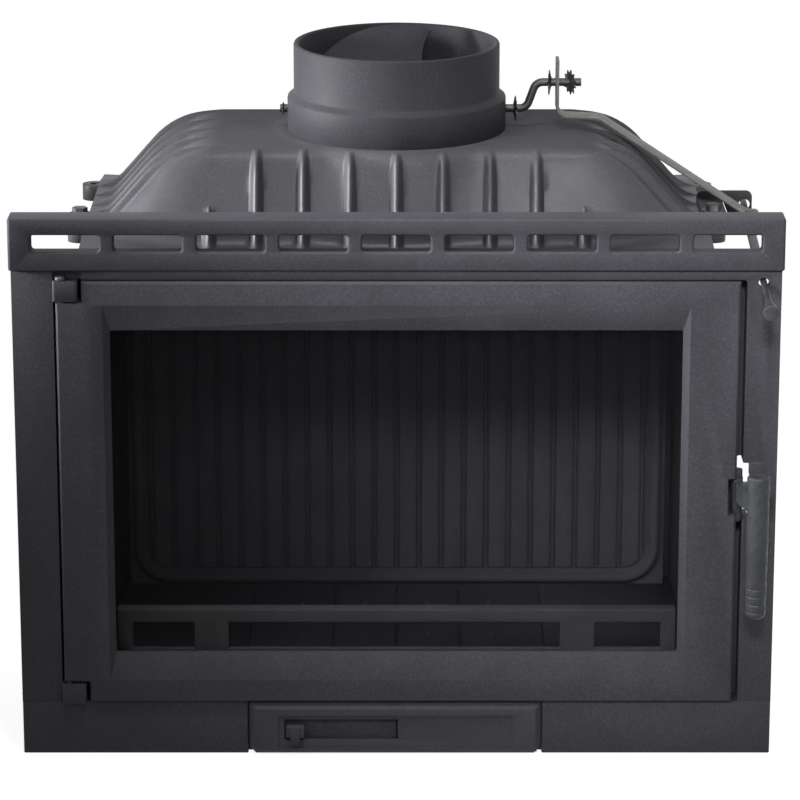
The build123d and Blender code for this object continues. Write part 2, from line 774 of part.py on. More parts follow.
shaft_left, crank_start = -collar_r - 7, collar_r + 16
crank_end, bar_x, pin_right = crank_start + 18, crank_start + 32.5, crank_start + 55
pin_z = damper_z + crank_throw
with BuildPart() as damper_shaft:
    with BuildLine(Plane.XZ) as shaft_line:
        FilletPolyline(
            (shaft_left, damper_z), (crank_start, damper_z), (crank_end, pin_z), (pin_right, pin_z), radius=9
        )
    with BuildSketch(Plane.YZ.offset(shaft_left)):
        with Locations((0, damper_z)):
            Circle(shaft_r)
    sweep(path=shaft_line.line)
save(damper_shaft, "damper_shaft")


def star_washer(x, z):
    """Star-lock washer on the shaft: a thin ring with pointed teeth."""
    teeth, tip_r, root_r = 9, 12.5, 8.5
    points = []
    for number in range(2 * teeth):
        angle = radians(180 * number / teeth)
        reach = tip_r if number % 2 == 0 else root_r
        points.append((reach * cos(angle), z + reach * sin(angle)))
    with BuildSketch(Plane.YZ.offset(x), mode=Mode.PRIVATE) as outline:
        with BuildLine():
            Polyline(*points, close=True)
        make_face()
        with Locations((0, z)):
            Circle(shaft_r, mode=Mode.SUBTRACT)
    extrude(outline.sketch, amount=1.2)


with BuildPart() as star_washers:
    star_washer(-collar_r - 4.2, damper_z)
    star_washer(collar_r + 7.5, damper_z)
    star_washer(bar_x - 7, pin_z)
    star_washer(bar_x + 10, pin_z)
save(star_washers, "star_washers")

# ---------------------------------------------------------- pull rod and link
tab_y = -29.0
knob_length, knob_r = 32.0, 7.5
with BuildPart() as pull_rod:
    with Locations(rod_plane(rod_back_y).location):
        length = (rod_back_y - rod_knob_y) / cos(radians(rod_tilt)) - knob_length + 1
        Cylinder(rod_r, length, align=(Align.CENTER, Align.CENTER, Align.MIN))
    with Locations(rod_plane(rod_knob_y + knob_length * cos(radians(rod_tilt))).location):
        Cone(rod_r, knob_r, knob_length - 6, align=(Align.CENTER, Align.CENTER, Align.MIN))
    with Locations(rod_plane(rod_knob_y + 6).location):
        Cylinder(knob_r, 6, align=(Align.CENTER, Align.CENTER, Align.MIN))
    fillet(pull_rod.edges().filter_by(GeomType.CIRCLE).group_by(Axis.Y)[0], 2)
    # the rod is hammered flat where it passes behind the lintel
    with Locations(rod_plane(tab_y - 12).location):
        Box(9, 2.6, 85, align=(Align.CENTER, Align.CENTER, Align.MIN))
save(pull_rod, "pull_rod")

slot_play = 0.8
bar_top, bar_bend = pin_z + 23, damper_z - 6
with BuildPart() as link_bar:
    with BuildLine() as bar_line:
        FilletPolyline(
            (bar_x, 0, bar_top),
            (bar_x, 0, bar_bend),
            (top_half_x + 27, 0, bar_bend - 2),
            (rod_x - 3, tab_y, rod_z(tab_y) + 8),
            radius=9,
        )
    with BuildSketch(Plane.XY.offset(bar_top)):
        with Locations((bar_x, 0)):
            Rectangle(bar_thickness, bar_width)
    sweep(path=bar_line.line)
    # the end is turned down round the rod
    with BuildSketch(rod_plane(tab_y)):
        with Locations((0, 2)):
            RectangleRounded(bar_width, 18, 4)
    extrude(amount=bar_thickness)
    with Locations(rod_plane(tab_y).location):
        Cylinder(rod_r + touch, 12, mode=Mode.SUBTRACT)
    # upright slot for the crank pin
    drop, rise = 9.5 + slot_play, slot_play
    with BuildSketch(Plane.YZ.offset(bar_x - 5)):
        with Locations((0, pin_z + (rise - drop) / 2)):
            SlotCenterToCenter(drop + rise, 2 * (shaft_r + slot_play), rotation=90)
    extrude(amount=10, mode=Mode.SUBTRACT)
save(link_bar, "link_bar")

# ----------------------------------------------------------------- door hinge
upper_lug_top = recess_top
upper_lug_foot = upper_lug_top - hinge_lug_height
lower_lug_foot = plinth_height
lower_lug_top = lower_lug_foot + hinge_lug_height
lug_gap = 1.5
pin_reach = 22.0


def make_hinge_lug(z, name):
    """Block beside the door's corner, bored for the hinge pin and seated on the frame."""
    with BuildPart() as lug:
        with BuildSketch(Plane.XY.offset(z[0])):
            with Locations(((recess_left + lug_right) / 2, (door_front - 1 + seal_y) / 2)):
                Rectangle(lug_right - recess_left, seal_y - door_front + 1)
        extrude(amount=z[1] - z[0])
        fillet(lug.edges().filter_by(Axis.Z).group_by(Axis.Y)[0], 2.5)
        with Locations((hinge_x, hinge_y, (z[0] + z[1]) / 2)):
            Cylinder(hinge_pin_r, 2 * hinge_lug_height, mode=Mode.SUBTRACT)
    save(lug, name)


make_hinge_lug((upper_lug_foot, upper_lug_top), "upper_hinge_lug")
make_hinge_lug((lower_lug_foot, lower_lug_top), "lower_hinge_lug")

with BuildPart() as hinge_pins:
    with BuildSketch(Plane.XY.offset(upper_lug_foot - pin_reach)):
        with Locations((hinge_x, hinge_y)):
            Circle(hinge_pin_r)
    extrude(amount=upper_lug_top - upper_lug_foot + pin_reach)
    with BuildSketch(Plane.XY.offset(upper_lug_top)):
        with Locations((hinge_x, hinge_y)):
            Circle(5)
    extrude(amount=4.5)
    fillet(hinge_pins.edges().filter_by(GeomType.CIRCLE).sort_by(Axis.Z)[-1], 3)
    with BuildSketch(Plane.XY.offset(lower_lug_foot)):
        with Locations((hinge_x, hinge_y)):
            Circle(hinge_pin_r)
    extrude(amount=lower_lug_top - lower_lug_foot + pin_reach)
save(hinge_pins, "hinge_pins")

# ----------------------------------------------------------------------- door
lip_back = door_front + slope_depth + 3
pane_x = (-glass_half_width - glass_cover_x, glass_half_width + glass_cover_x)
pane_z = (glass_low - glass_cover, glass_high + glass_cover)
corner_top = upper_lug_foot - lug_gap
corner_foot = lower_lug_top + lug_gap


with BuildPart() as door_frame:
    with BuildSketch(front_plane(door_front)):
        with BuildLine():
            Polyline(
                (door_left, corner_foot),
                (notch_right, corner_foot),
                (notch_right, door_bottom),
                (door_right, door_bottom),
                (door_right, door_top),
                (notch_right, door_top),
                (notch_right, corner_top),
                (door_left, corner_top),
                close=True,
            )
        make_face()
    extrude(amount=-door_thickness)
    chamfer(door_frame.faces().sort_by(Axis.Y)[0].edges(), 2)
    # window: sloped bands in front, a straight throat, and a seat for the pane behind
    with BuildSketch(front_plane(door_front)):
        panel(
            (-glass_half_width - stile_slope, glass_half_width + stile_slope),
            (glass_low - rail_slope, glass_high + rail_slope),
        )
    with BuildSketch(front_plane(door_front + slope_depth)):
        panel((-glass_half_width, glass_half_width), (glass_low, glass_high))
    loft(mode=Mode.SUBTRACT)
    with BuildSketch(front_plane(door_front)):
        panel((-glass_half_width, glass_half_width), (glass_low, glass_high), 2)
    extrude(amount=-door_thickness, mode=Mode.SUBTRACT)
    with BuildSketch(front_plane(lip_back)):
        panel((pane_x[0] - 1.5, pane_x[1] + 1.5), (pane_z[0] - 1.5, pane_z[1] + 1.5), 4)
    extrude(amount=-(door_back - lip_back), mode=Mode.SUBTRACT)
    # groove for the seal rope
    with BuildSketch(front_plane(door_back - rope / 2)):
        with Locations(((rope_x[0] + rope_x[1]) / 2, (rope_z[0] + rope_z[1]) / 2)):
            outer = (rope_x[1] - rope_x[0] + rope + 0.6, rope_z[1] - rope_z[0] + rope + 0.6)
            RectangleRounded(outer[0], outer[1], 24)
            inner = (rope_x[1] - rope_x[0] - rope - 0.6, rope_z[1] - rope_z[0] - rope - 0.6)
            RectangleRounded(inner[0], inner[1], 16, mode=Mode.SUBTRACT)
    extrude(amount=-rope / 2, mode=Mode.SUBTRACT)
    # hinge bores
    with Locations((hinge_x, hinge_y, corner_top), (hinge_x, hinge_y, corner_foot)):
        Cylinder(hinge_pin_r + touch, 2 * pin_reach, mode=Mode.SUBTRACT)
    # opening in the edge for the latch barrel, between two ears
    block(
        (barrel_x - barrel_r - neck_swing, door_right + 9), (door_front - 1, door_back + 1),
        (barrel_low, barrel_high), Mode.SUBTRACT,
    )
    ear_half = handle_pin_r + 2.5
    for z in ((barrel_low - 7, barrel_low), (barrel_high, barrel_high + 7)):
        with BuildSketch(Plane.XY.offset(z[0])):
            with Locations((barrel_x, barrel_y)):
                Circle(ear_half)
            with Locations((barrel_x - ear_half, barrel_y)):
                Rectangle(2 * ear_half, 2 * ear_half)
        extrude(amount=z[1] - z[0])
    with Locations((barrel_x, barrel_y, (barrel_low + barrel_high) / 2)):
        Cylinder(handle_pin_r, barrel_high - barrel_low + 30, mode=Mode.SUBTRACT)
save(door_frame, "door_frame")

with BuildPart() as glass_gasket:
    with BuildSketch(front_plane(lip_back)):
        panel(pane_x, pane_z, 3)
        with Locations((0, (glass_low + glass_high) / 2)):
            inside = (2 * glass_half_width + 6, glass_high - glass_low + 6)
            Rectangle(inside[0], inside[1], mode=Mode.SUBTRACT)
    extrude(amount=-tape)
save(glass_gasket, "glass_gasket")

pane_front = lip_back + tape
with BuildPart() as door_glass:
    with BuildSketch(front_plane(pane_front)):
        panel(pane_x, pane_z, 3)
    extrude(amount=-glass_thickness)
    chamfer(door_glass.edges().group_by(Axis.Y)[0], 0.8)
save(door_glass, "door_glass")

with BuildPart() as door_gasket:
    rope_middle = ((rope_x[0] + rope_x[1]) / 2, (rope_z[0] + rope_z[1]) / 2)
    with BuildSketch(front_plane(door_back), mode=Mode.PRIVATE) as rope_route:
        with Locations(rope_middle):
            RectangleRounded(rope_x[1] - rope_x[0], rope_z[1] - rope_z[0], 20)
    with BuildSketch(Plane(origin=(rope_middle[0], door_back, rope_z[0]), x_dir=(0, 1, 0), z_dir=(1, 0, 0))):
        Circle(rope / 2)
    sweep(path=rope_route.sketch.face().outer_wire())
save(door_gasket, "door_gasket")

# clips: a foot on the door's back, a tongue on the pane
clip_width, clip_sheet = 22.0, 2.0
pane_back = pane_front + glass_thickness
clip_spots = [(x, z, turn) for x in (-180, 0, 180) for z, turn in ((pane_z[1], 0), (pane_z[0], 180))]
with BuildPart() as glass_clips:
    for x, z, turn in clip_spots:
        spot = Plane(front_plane(pane_back).location * Location((x, z, 0), (0, 0, turn)))
        with BuildSketch(spot):
            with Locations((0, -3.3)):
                Rectangle(clip_width, 9.4)
        extrude(amount=-clip_sheet)
        with BuildSketch(spot.offset(-(door_back - pane_back))):
            with Locations((0, 6.7)):
                Rectangle(clip_width, 13.4)
        extrude(amount=-clip_sheet)
        with BuildSketch(spot):
            with Locations((0, 0.7)):
                Rectangle(clip_width, 1.4)
        extrude(amount=-(door_back - pane_back) - clip_sheet)
save(glass_clips, "glass_clips")

with BuildPart() as clip_screws:
    for x, z, turn in clip_spots:
        spot = Plane(front_plane(door_back + clip_sheet).location * Location((x, z, 0), (0, 0, turn)))
        with BuildSketch(spot):
            with Locations((0, 8.5)):
                Circle(3.6)
        extrude(amount=-2.4)
save(clip_screws, "clip_screws")

# --------------------------------------------------------------- door handle
with BuildPart() as handle_pin:
    with BuildSketch(Plane.XY.offset(barrel_low - 7)):
        with Locations((barrel_x, barrel_y)):
            Circle(handle_pin_r)
    extrude(amount=barrel_high - barrel_low + 14)
save(handle_pin, "handle_pin")

neck_low, neck_high = barrel_low + 13, barrel_high - 4
hook_low, hook_high = barrel_low + 9, barrel_high - 8
hook_x, hook_y = barrel_x + 19, front_y + 14
grip_foot_r = 9.5
ring_count, ring_pitch = 4, 7.5
with BuildPart() as handle_lever:
    with BuildSketch(Plane.XY.offset(barrel_low + loose)):
        with Locations((barrel_x, barrel_y)):
            Circle(barrel_r)
    extrude(amount=barrel_high - barrel_low - 2 * loose)
    with BuildSketch(Plane.XY.offset(neck_low)):
        with BuildLine():
            Polyline(
                (barrel_x - 4, barrel_y), (grip_x - 5, grip_y), (grip_x + 4, grip_y),
                (barrel_x + 5, barrel_y), close=True,
            )
        make_face()
    extrude(amount=neck_high - neck_low)
    with BuildSketch(Plane.XY.offset(hook_low)):
        with BuildLine():
            Polyline(
                (barrel_x, barrel_y - 4), (hook_x, hook_y - 3.5), (hook_x, hook_y + 4),
                (barrel_x, barrel_y + 5), close=True,
            )
        make_face()
    extrude(amount=hook_high - hook_low)
    with Locations((grip_x, grip_y, (neck_low + neck_high) / 2)):
        Cylinder(grip_r, neck_high - neck_low + 10, mode=Mode.SUBTRACT)
    with Locations((barrel_x, barrel_y, (barrel_low + barrel_high) / 2)):
        Cylinder(handle_pin_r + touch, barrel_high - barrel_low, mode=Mode.SUBTRACT)
save(handle_lever, "handle_lever")

with BuildPart() as handle_grip:
    with BuildSketch(Plane.XZ.offset(-grip_y)):
        with BuildLine():
            Line((grip_x, grip_low), (grip_x + 3, grip_low))
            RadiusArc((grip_x + 3, grip_low), (grip_x + grip_foot_r, grip_low + 7), -7)
            Line((grip_x + grip_foot_r, grip_low + 7), (grip_x + grip_r - 0.1, neck_low - 6))
            Line((grip_x + grip_r - 0.1, neck_low - 6), (grip_x + grip_r - 0.1, grip_high - 2))
            Line((grip_x + grip_r - 0.1, grip_high - 2), (grip_x + grip_r - 2, grip_high))
            Line((grip_x + grip_r - 2, grip_high), (grip_x, grip_high - 1))
            Line((grip_x, grip_high - 1), (grip_x, grip_low))
        make_face()
    revolve(axis=Axis((grip_x, grip_y, 0), (0, 0, 1)))
    # turned rings near the foot
    with Locations(*[(grip_x, grip_y, grip_low + 7.5 + number * ring_pitch) for number in range(ring_count)]):
        Torus(grip_foot_r + 0.6, 0.9, mode=Mode.SUBTRACT)
save(handle_grip, "handle_grip")

# ----------------------------------------------------------------- ash drawer
plate_back = front_y + 1
ledge, ledge_depth = 5.0, 3.5
drawer_foot, drawer_head = 0.8, plinth_height - 0.8
ledge_x = (slide_left - 16, slide_right + slide_travel + 2)
pan_half = drawer_right - 10
plate_play = 0.3
slide_plate_z = (slide_low - 1, slide_high + 1)
with BuildPart() as drawer_front:
    with BuildSketch(front_plane(drawer_front_y)):
        panel((drawer_left, drawer_right), (drawer_foot, drawer_head))
    extrude(amount=-(plate_back - drawer_front_y))
    chamfer(drawer_front.edges().filter_by(Axis.Y).group_by(Axis.Z)[0], 6)
    face = drawer_front.faces().sort_by(Axis.Y)[0]
    chamfer(face.edges(), 5)
    with BuildSketch(front_plane(drawer_front_y)):
        panel((slide_left - 5.5, 108), (slide_low - 7, slide_high + 3.7))
    extrude(amount=-1.5, mode=Mode.SUBTRACT)
    with BuildSketch(front_plane(drawer_front_y)):
        panel((slide_left, slide_right), (slide_low, slide_high), 1)
    extrude(amount=-(plate_back - drawer_front_y), mode=Mode.SUBTRACT)
    # ledges behind, between which the air slide runs
    block(ledge_x, (plate_back, plate_back + ledge_depth),
          (slide_plate_z[0] - plate_play - ledge, slide_plate_z[0] - plate_play))
    block(ledge_x, (plate_back, plate_back + ledge_depth),
          (slide_plate_z[1] + plate_play, slide_plate_z[1] + plate_play + ledge))
save(drawer_front, "drawer_front")

slide_plate_y = plate_back + loose
with BuildPart() as air_slider:
    with BuildSketch(front_plane(slide_plate_y)):
        panel((slide_left - 10, slide_right - 2), slide_plate_z, 2)
    extrude(amount=-2)
    block((slide_left + 1.5, slide_left + 18.5), (drawer_front_y - 3, slide_plate_y), (18.5, 29.5))
    block((slide_left + 5.5, slide_left + 14.5), (drawer_front_y - 5, drawer_front_y - 1), (12.5, 29.5))
    fillet(air_slider.edges().filter_by(Axis.Z).group_by(Axis.Y)[0], 1.5)
save(air_slider, "air_slider")

pan_front = plate_back + ledge_depth
pan_foot, pan_rim = housing_sheet + loose, plinth_height - 5
with BuildPart() as ash_pan:
    block((-pan_half, pan_half), (pan_front, pan_back), (pan_foot, pan_rim))
    offset(amount=-pan_sheet, openings=ash_pan.faces().sort_by(Axis.Z)[-1])
    # air holes behind the slide
    with BuildSketch(front_plane(pan_front)):
        with Locations(((slide_left + slide_right) / 2, (slide_low + slide_high) / 2)):
            with GridLocations(24, 1, 4, 1):
                Circle(6)
    extrude(amount=-pan_sheet, mode=Mode.SUBTRACT)
save(ash_pan, "ash_pan")
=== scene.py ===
import json
import math

import bmesh
import bpy
import numpy as np
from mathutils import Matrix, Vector


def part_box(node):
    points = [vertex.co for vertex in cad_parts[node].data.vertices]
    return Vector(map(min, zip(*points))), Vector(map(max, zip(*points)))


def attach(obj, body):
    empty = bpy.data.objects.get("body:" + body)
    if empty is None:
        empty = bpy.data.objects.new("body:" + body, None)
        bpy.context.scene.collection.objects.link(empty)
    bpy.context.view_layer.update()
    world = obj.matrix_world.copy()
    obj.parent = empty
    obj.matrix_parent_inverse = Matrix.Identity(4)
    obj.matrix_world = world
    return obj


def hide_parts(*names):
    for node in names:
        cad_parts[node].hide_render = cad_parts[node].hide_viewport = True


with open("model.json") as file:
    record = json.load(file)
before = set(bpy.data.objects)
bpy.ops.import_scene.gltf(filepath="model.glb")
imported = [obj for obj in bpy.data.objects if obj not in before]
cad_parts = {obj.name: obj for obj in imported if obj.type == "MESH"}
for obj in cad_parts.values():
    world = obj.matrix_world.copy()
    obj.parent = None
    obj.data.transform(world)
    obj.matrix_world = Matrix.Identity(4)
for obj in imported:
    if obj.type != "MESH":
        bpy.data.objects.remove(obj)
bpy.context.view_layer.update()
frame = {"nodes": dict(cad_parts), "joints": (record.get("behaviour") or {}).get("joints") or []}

# Cast-iron fireplace insert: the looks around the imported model. Metres, front towards -Y.
MM = 0.001


# ------------------------------------------------------------------ places read from the frame
def low(node):
    """Lowest corner of a node."""
    return np.array(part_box(node)[0])


def high(node):
    """Highest corner of a node."""
    return np.array(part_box(node)[1])


joints = {joint["name"]: joint for joint in frame["joints"]}
collar_r, spigot_top = high("flue_spigot")[0], high("flue_spigot")[2]
spigot_r = collar_r - 6 * MM
bore_r = spigot_r - 5 * MM
flue_hole_r = bore_r + 1.5 * MM
dome_top = spigot_top - 83 * MM
flange_foot = low("dome")[2]
flange_top = flange_foot + 10 * MM
damper_z = joints["damper_turn"]["pos_m"][2]
crank_rise = 25 * MM


# ------------------------------------------------------------------------------- mesh helpers
def smooth_step(edge_0, edge_1, x):
    """Share of the way from edge_0 to edge_1, eased as 3t squared minus 2t cubed."""
    t = np.clip((x - edge_0) / (edge_1 - edge_0), 0, 1)
    return t * t * (3 - 2 * t)


def full_turn(steps):
    """Angles of one whole turn, without its end."""
    return np.linspace(0, 2 * math.pi, steps, endpoint=False)


def distance_to(x, places):
    """Distance of each x to the nearest of some places."""
    return np.abs(x[..., None] - places).min(-1)


def lines_about(places, offsets):
    """Grid lines at the given offsets about each place."""
    return (places[:, None] + offsets).ravel()


def grid_lines(*parts):
    """Grid lines in order, without doubles, to a hundredth of a millimetre."""
    return np.unique(np.round(np.concatenate(parts), 5))


def grid_faces(rows, columns, wrap_rows=False, wrap_columns=False, start=0):
    """Quads between neighbouring points of a grid whose points are numbered row by row."""
    i = np.arange(rows if wrap_rows else rows - 1)
    j = np.arange(columns if wrap_columns else columns - 1)
    i, j = np.meshgrid(i, j, indexing="ij")
    i, j = i.ravel(), j.ravel()
    next_i, next_j = (i + 1) % rows, (j + 1) % columns
    corners = (i * columns + j, next_i * columns + j, next_i * columns + next_j, i * columns + next_j)
    return np.stack(corners, 1) + start


def closed_mesh(name, points, faces, angle):
    """Mesh of a closed shell, its doubles merged, its faces turned outwards, shaded by angle."""
    mesh = bpy.data.meshes.new(name)
    mesh.from_pydata(points, [], faces.tolist())
    work = bmesh.new()
    work.from_mesh(mesh)
    bmesh.ops.remove_doubles(work, verts=work.verts, dist=1e-6)
    bmesh.ops.recalc_face_normals(work, faces=work.faces)
    work.to_mesh(mesh)
    work.free()
    mesh.shade_smooth()
    mesh.set_sharp_from_angle(angle=math.radians(angle))
    return mesh


def mesh_of(name, grids, angle=38):
    """One mesh from several grids, each (points of rows x columns x 3, wrap rows, wrap columns)."""
    points, faces, count = [], [], 0
    for grid, wrap_rows, wrap_columns in grids:
        rows, columns = grid.shape[:2]
        faces.append(grid_faces(rows, columns, wrap_rows, wrap_columns, count))
        points.append(grid.reshape(-1, 3))
        count += rows * columns
    return closed_mesh(name, np.concatenate(points), np.concatenate(faces), angle)


def closed_sheets(name, front, back, angle, cells=None):
    """One closed shell from two sheets of points on the same grid: the kept cells of both, and walls
    along each edge that belongs to only one kept cell. All cells are kept where none are given."""
    rows, columns = front.shape[:2]
    count = rows * columns
    quads = grid_faces(rows, columns)
    if cells is not None:
        quads = quads[cells.ravel()]
    edges = np.concatenate([quads[:, [0, 1]], quads[:, [1, 2]], quads[:, [2, 3]], quads[:, [3, 0]]])
    key, reverse = edges[:, 0] * count + edges[:, 1], edges[:, 1] * count + edges[:, 0]
    border = edges[~np.isin(key, reverse)]
    walls = np.stack([border[:, 1], border[:, 0], border[:, 0] + count, border[:, 1] + count], 1)
    faces = np.concatenate([quads, quads[:, ::-1] + count, walls])
    used, faces = np.unique(faces, return_inverse=True)
    points = np.concatenate([front.reshape(-1, 3), back.reshape(-1, 3)])[used]
    return closed_mesh(name, points, faces.reshape(-1, 4), angle)


def closed_ends(rings):
    """Adds the middle of the first and last ring, so that both ends are closed."""
    first = np.broadcast_to(rings[0].mean(0), rings[0].shape)
    last = np.broadcast_to(rings[-1].mean(0), rings[-1].shape)
    return np.concatenate([first[None], rings, last[None]])


def lathe(profile, centre=(0, 0, 0), steps=96):
    """Grid of a closed profile of (radius, height) pairs turned about an upright axis: radius times
    cosine and sine of the turn beside the axis, height along it."""
    profile = np.asarray(profile, float)
    turn = full_turn(steps)
    radius, height = profile[:, :1], profile[:, 1:]
    points = np.stack([radius * np.cos(turn), radius * np.sin(turn), height + 0 * turn], -1)
    return points + np.asarray(centre, float), True, True


def rounded_path(corners, radius, steps=8):
    """Points of a path whose corners are replaced by arcs of the given radius: each arc lies between
    the two tangent points, swept by the turn of the direction."""
    corners = [np.asarray(c, float) for c in corners]
    points = [corners[0]]
    for before, corner, after in zip(corners, corners[1:], corners[2:]):
        into, out = corner - before, after - corner
        into, out = into / np.linalg.norm(into), out / np.linalg.norm(out)
        turn = math.acos(np.clip(into @ out, -1, 1))
        reach = radius * math.tan(turn / 2)
        normal = out - (out @ into) * into
        normal /= np.linalg.norm(normal)
        share = np.linspace(0, turn, steps)[:, None]
        centre = corner - into * reach + normal * radius
        points.extend(centre + radius * (np.sin(share) * into - np.cos(share) * normal))
    points.append(corners[-1])
    return np.array(points)


def sweep(path, section, width_way):
    """Grid of a section of (across, up) pairs carried along a path: across runs along the width
    direction made square to the path, up along the cross product of the two."""
    ways = np.gradient(path, axis=0)
    ways /= np.linalg.norm(ways, axis=1, keepdims=True)
    width = np.broadcast_to(np.asarray(width_way, float), path.shape)
    width = width - (width * ways).sum(1, keepdims=True) * ways
    width /= np.linalg.norm(width, axis=1, keepdims=True)
    up = np.cross(ways, width)
    rings = path[:, None] + section[:, :1] * width[:, None] + section[:, 1:] * up[:, None]
    return closed_ends(rings), False, True


def circle_section(radius, steps=24):
    """Outline of a round section."""
    turn = full_turn(steps)
    return radius * np.stack([np.cos(turn), np.sin(turn)], 1)


def rounded_outline(half_width, half_height, corner, steps=7):
    """Outline of a rectangle with round corners: quarter turns about the four corner centres."""
    quarter = np.linspace(0, math.pi / 2, steps)
    parts = []
    for number, (side, up) in enumerate(((1, 1), (-1, 1), (-1, -1), (1, -1))):
        turn = quarter + number * math.pi / 2
        centre = np.array([side * (half_width - corner), up * (half_height - corner)])
        parts.append(centre + corner * np.stack([np.cos(turn), np.sin(turn)], 1))
    return np.concatenate(parts)


def eased_block(left, right, foot, top, front, back, corner):
    """Grid of a block: a round-cornered outline carried back, its front edge eased by two smaller
    outlines, with both ends closed."""
    rows = []
    for less, y in ((0.5, front), (0.15, front + 0.2 * MM), (0.0, front + 1.0 * MM), (0.0, back)):
        line = rounded_outline((right - left) / 2 - less * MM, (top - foot) / 2 - less * MM, corner)
        x, z = line[:, 0] + (left + right) / 2, line[:, 1] + (foot + top) / 2
        rows.append(np.stack([x, 0 * x + y, z], -1))
    return closed_ends(np.stack(rows)), False, True


def piece(name, mesh, body, material, nodes=()):
    """Puts a mesh in the scene as a piece that rides on a body and stands for CAD nodes."""
    made = bpy.data.objects.new(name, mesh)
    bpy.context.scene.collection.objects.link(made)
    mesh.materials.clear()
    mesh.materials.append(material)
    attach(made, body)
    if nodes:
        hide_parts(*nodes)
    return made


def casting(name, node, body, material, edge, behind=None):
    """A node's own shape, merged, with its flat faces joined and its edges rounded by a bevel of edge
    millimetres. What lies behind the given depth is left out."""
    mesh = frame["nodes"][node].data.copy()
    mesh.name = name
    work = bmesh.new()
    work.from_mesh(mesh)
    bmesh.ops.remove_doubles(work, verts=work.verts, dist=2e-6)
    if behind is not None:
        whole = list(work.verts) + list(work.edges) + list(work.faces)
        bmesh.ops.bisect_plane(work, geom=whole, plane_co=(0, behind, 0), plane_no=(0, 1, 0), clear_outer=True)
    bmesh.ops.dissolve_limit(work, angle_limit=math.radians(0.6), verts=work.verts, edges=work.edges)
    work.to_mesh(mesh)
    work.free()
    mesh.shade_smooth()
    bevel = piece(name, mesh, body, material, [node]).modifiers.new("edges", "BEVEL")
    bevel.width = edge * MM
    bevel.segments = 2
    bevel.limit_method = "ANGLE"
    bevel.angle_limit = math.radians(32)
    bevel.harden_normals = True
    bevel.use_clamp_overlap = True


# -------------------------------------------------------------------------------- materials
def new_material(name):
    """A material with a Principled shader, and the shader itself."""
    material = bpy.data.materials.new(name)
    material.use_nodes = True
    return material, material.node_tree.nodes["Principled BSDF"]


def add(owner, kind, **settings):
    """Adds a node to a material or world, setting its properties or inputs by name."""
    node = owner.node_tree.nodes.new(kind)
    for key, value in settings.items():
        name = key.replace("_", " ").title()
        if name in node.inputs:
            node.inputs[name].default_value = value
        else:
            setattr(node, key, value)
    return node


def grey(level):
    """A grey colour."""
    return (level, level, level)


def noise(material, scale, detail=3.0, roughness=0.55):
    """Noise on Object coordinates, with scale in cycles a metre."""
    place = add(material, "ShaderNodeTexCoord")
    texture = add(material, "ShaderNodeTexNoise", scale=scale, detail=detail, roughness=roughness)
    material.node_tree.links.new(place.outputs["Object"], texture.inputs["Vector"])
    return texture.outputs["Fac"]


def ramp(material, value, stops):
    """Colour ramp through (position, colour) stops."""
    node = add(material, "ShaderNodeValToRGB")
    elements = node.color_ramp.elements
    elements[0].position, elements[0].color = stops[0][0], (*stops[0][1], 1)
    elements[1].position, elements[1].color = stops[-1][0], (*stops[-1][1], 1)
    for position, colour in stops[1:-1]:
        elements.new(position).color = (*colour, 1)
    material.node_tree.links.new(value, node.inputs["Fac"])
    return node.outputs["Color"]


def mix(material, kind, factor, a, b):
    """Blends two colours or values; each may be a socket or a constant."""
    node = add(material, "ShaderNodeMix", data_type="RGBA", blend_type=kind)
    for name, value in (("Factor", factor), ("A", a), ("B", b)):
        socket = [s for s in node.inputs if s.name == name and (name == "Factor" or s.type == "RGBA")][0]
        if isinstance(value, bpy.types.NodeSocket):
            material.node_tree.links.new(value, socket)
        else:
            socket.default_value = value if name == "Factor" else (*value, 1)
    return [s for s in node.outputs if s.type == "RGBA"][0]


def bump(material, shader, layers):
    """Chains bump layers of (height socket, distance in millimetres, strength)."""
    links, normal = material.node_tree.links, None
    for height, distance, strength in layers:
        node = add(material, "ShaderNodeBump", strength=strength, distance=distance * MM)
        links.new(height, node.inputs["Height"])
        if normal is not None:
            links.new(normal, node.inputs["Normal"])
        normal = node.outputs["Normal"]
    links.new(normal, shader.inputs["Normal"])


def painted_iron(name, colour, grain=0.22, grain_size=1.3, mottle=0.1, rough=0.58, shine=0.12, dull_from=None):
    """Matt heat-proof paint on sand-cast iron: fine grain in the bump, small specks, and a soft
    mottling of the colour and of the roughness. From the height dull_from upwards it lies dull with
    dust. The grain's size is in millimetres."""
    material, shader = new_material(name)
    links = material.node_tree.links
    fine = noise(material, 1000 / grain_size, 4.0, 0.65)
    broad = noise(material, 22, 3.0)
    specks = noise(material, 620, 2.0, 0.6)
    base = np.array(colour)
    tone = ramp(material, broad, [(0.3, base * (1 - mottle)), (0.7, base * (1 + mottle))])
    dots = ramp(material, specks, [(0.3, grey(0.8)), (0.55, grey(1)), (0.74, (1.35, 1.35, 1.38))])
    links.new(mix(material, "MULTIPLY", 1.0, tone, dots), shader.inputs["Base Color"])
    gloss = ramp(material, broad, [(0.3, grey(rough - 0.05)), (0.7, grey(rough + 0.05))])
    if dull_from is not None:
        apart = add(material, "ShaderNodeSeparateXYZ")
        links.new(add(material, "ShaderNodeTexCoord").outputs["Object"], apart.inputs[0])
        dust = add(material, "ShaderNodeMapRange", from_min=dull_from, from_max=dull_from + 4 * MM)
        links.new(apart.outputs["Z"], dust.inputs["Value"])
        gloss = mix(material, "MIX", dust.outputs["Result"], gloss, grey(0.9))
    links.new(gloss, shader.inputs["Roughness"])
    shader.inputs["Specular IOR Level"].default_value = shine
    bump(material, shader, [(noise(material, 160, 2.0), 0.25, 0.25), (fine, 0.12, grain)])
    return material


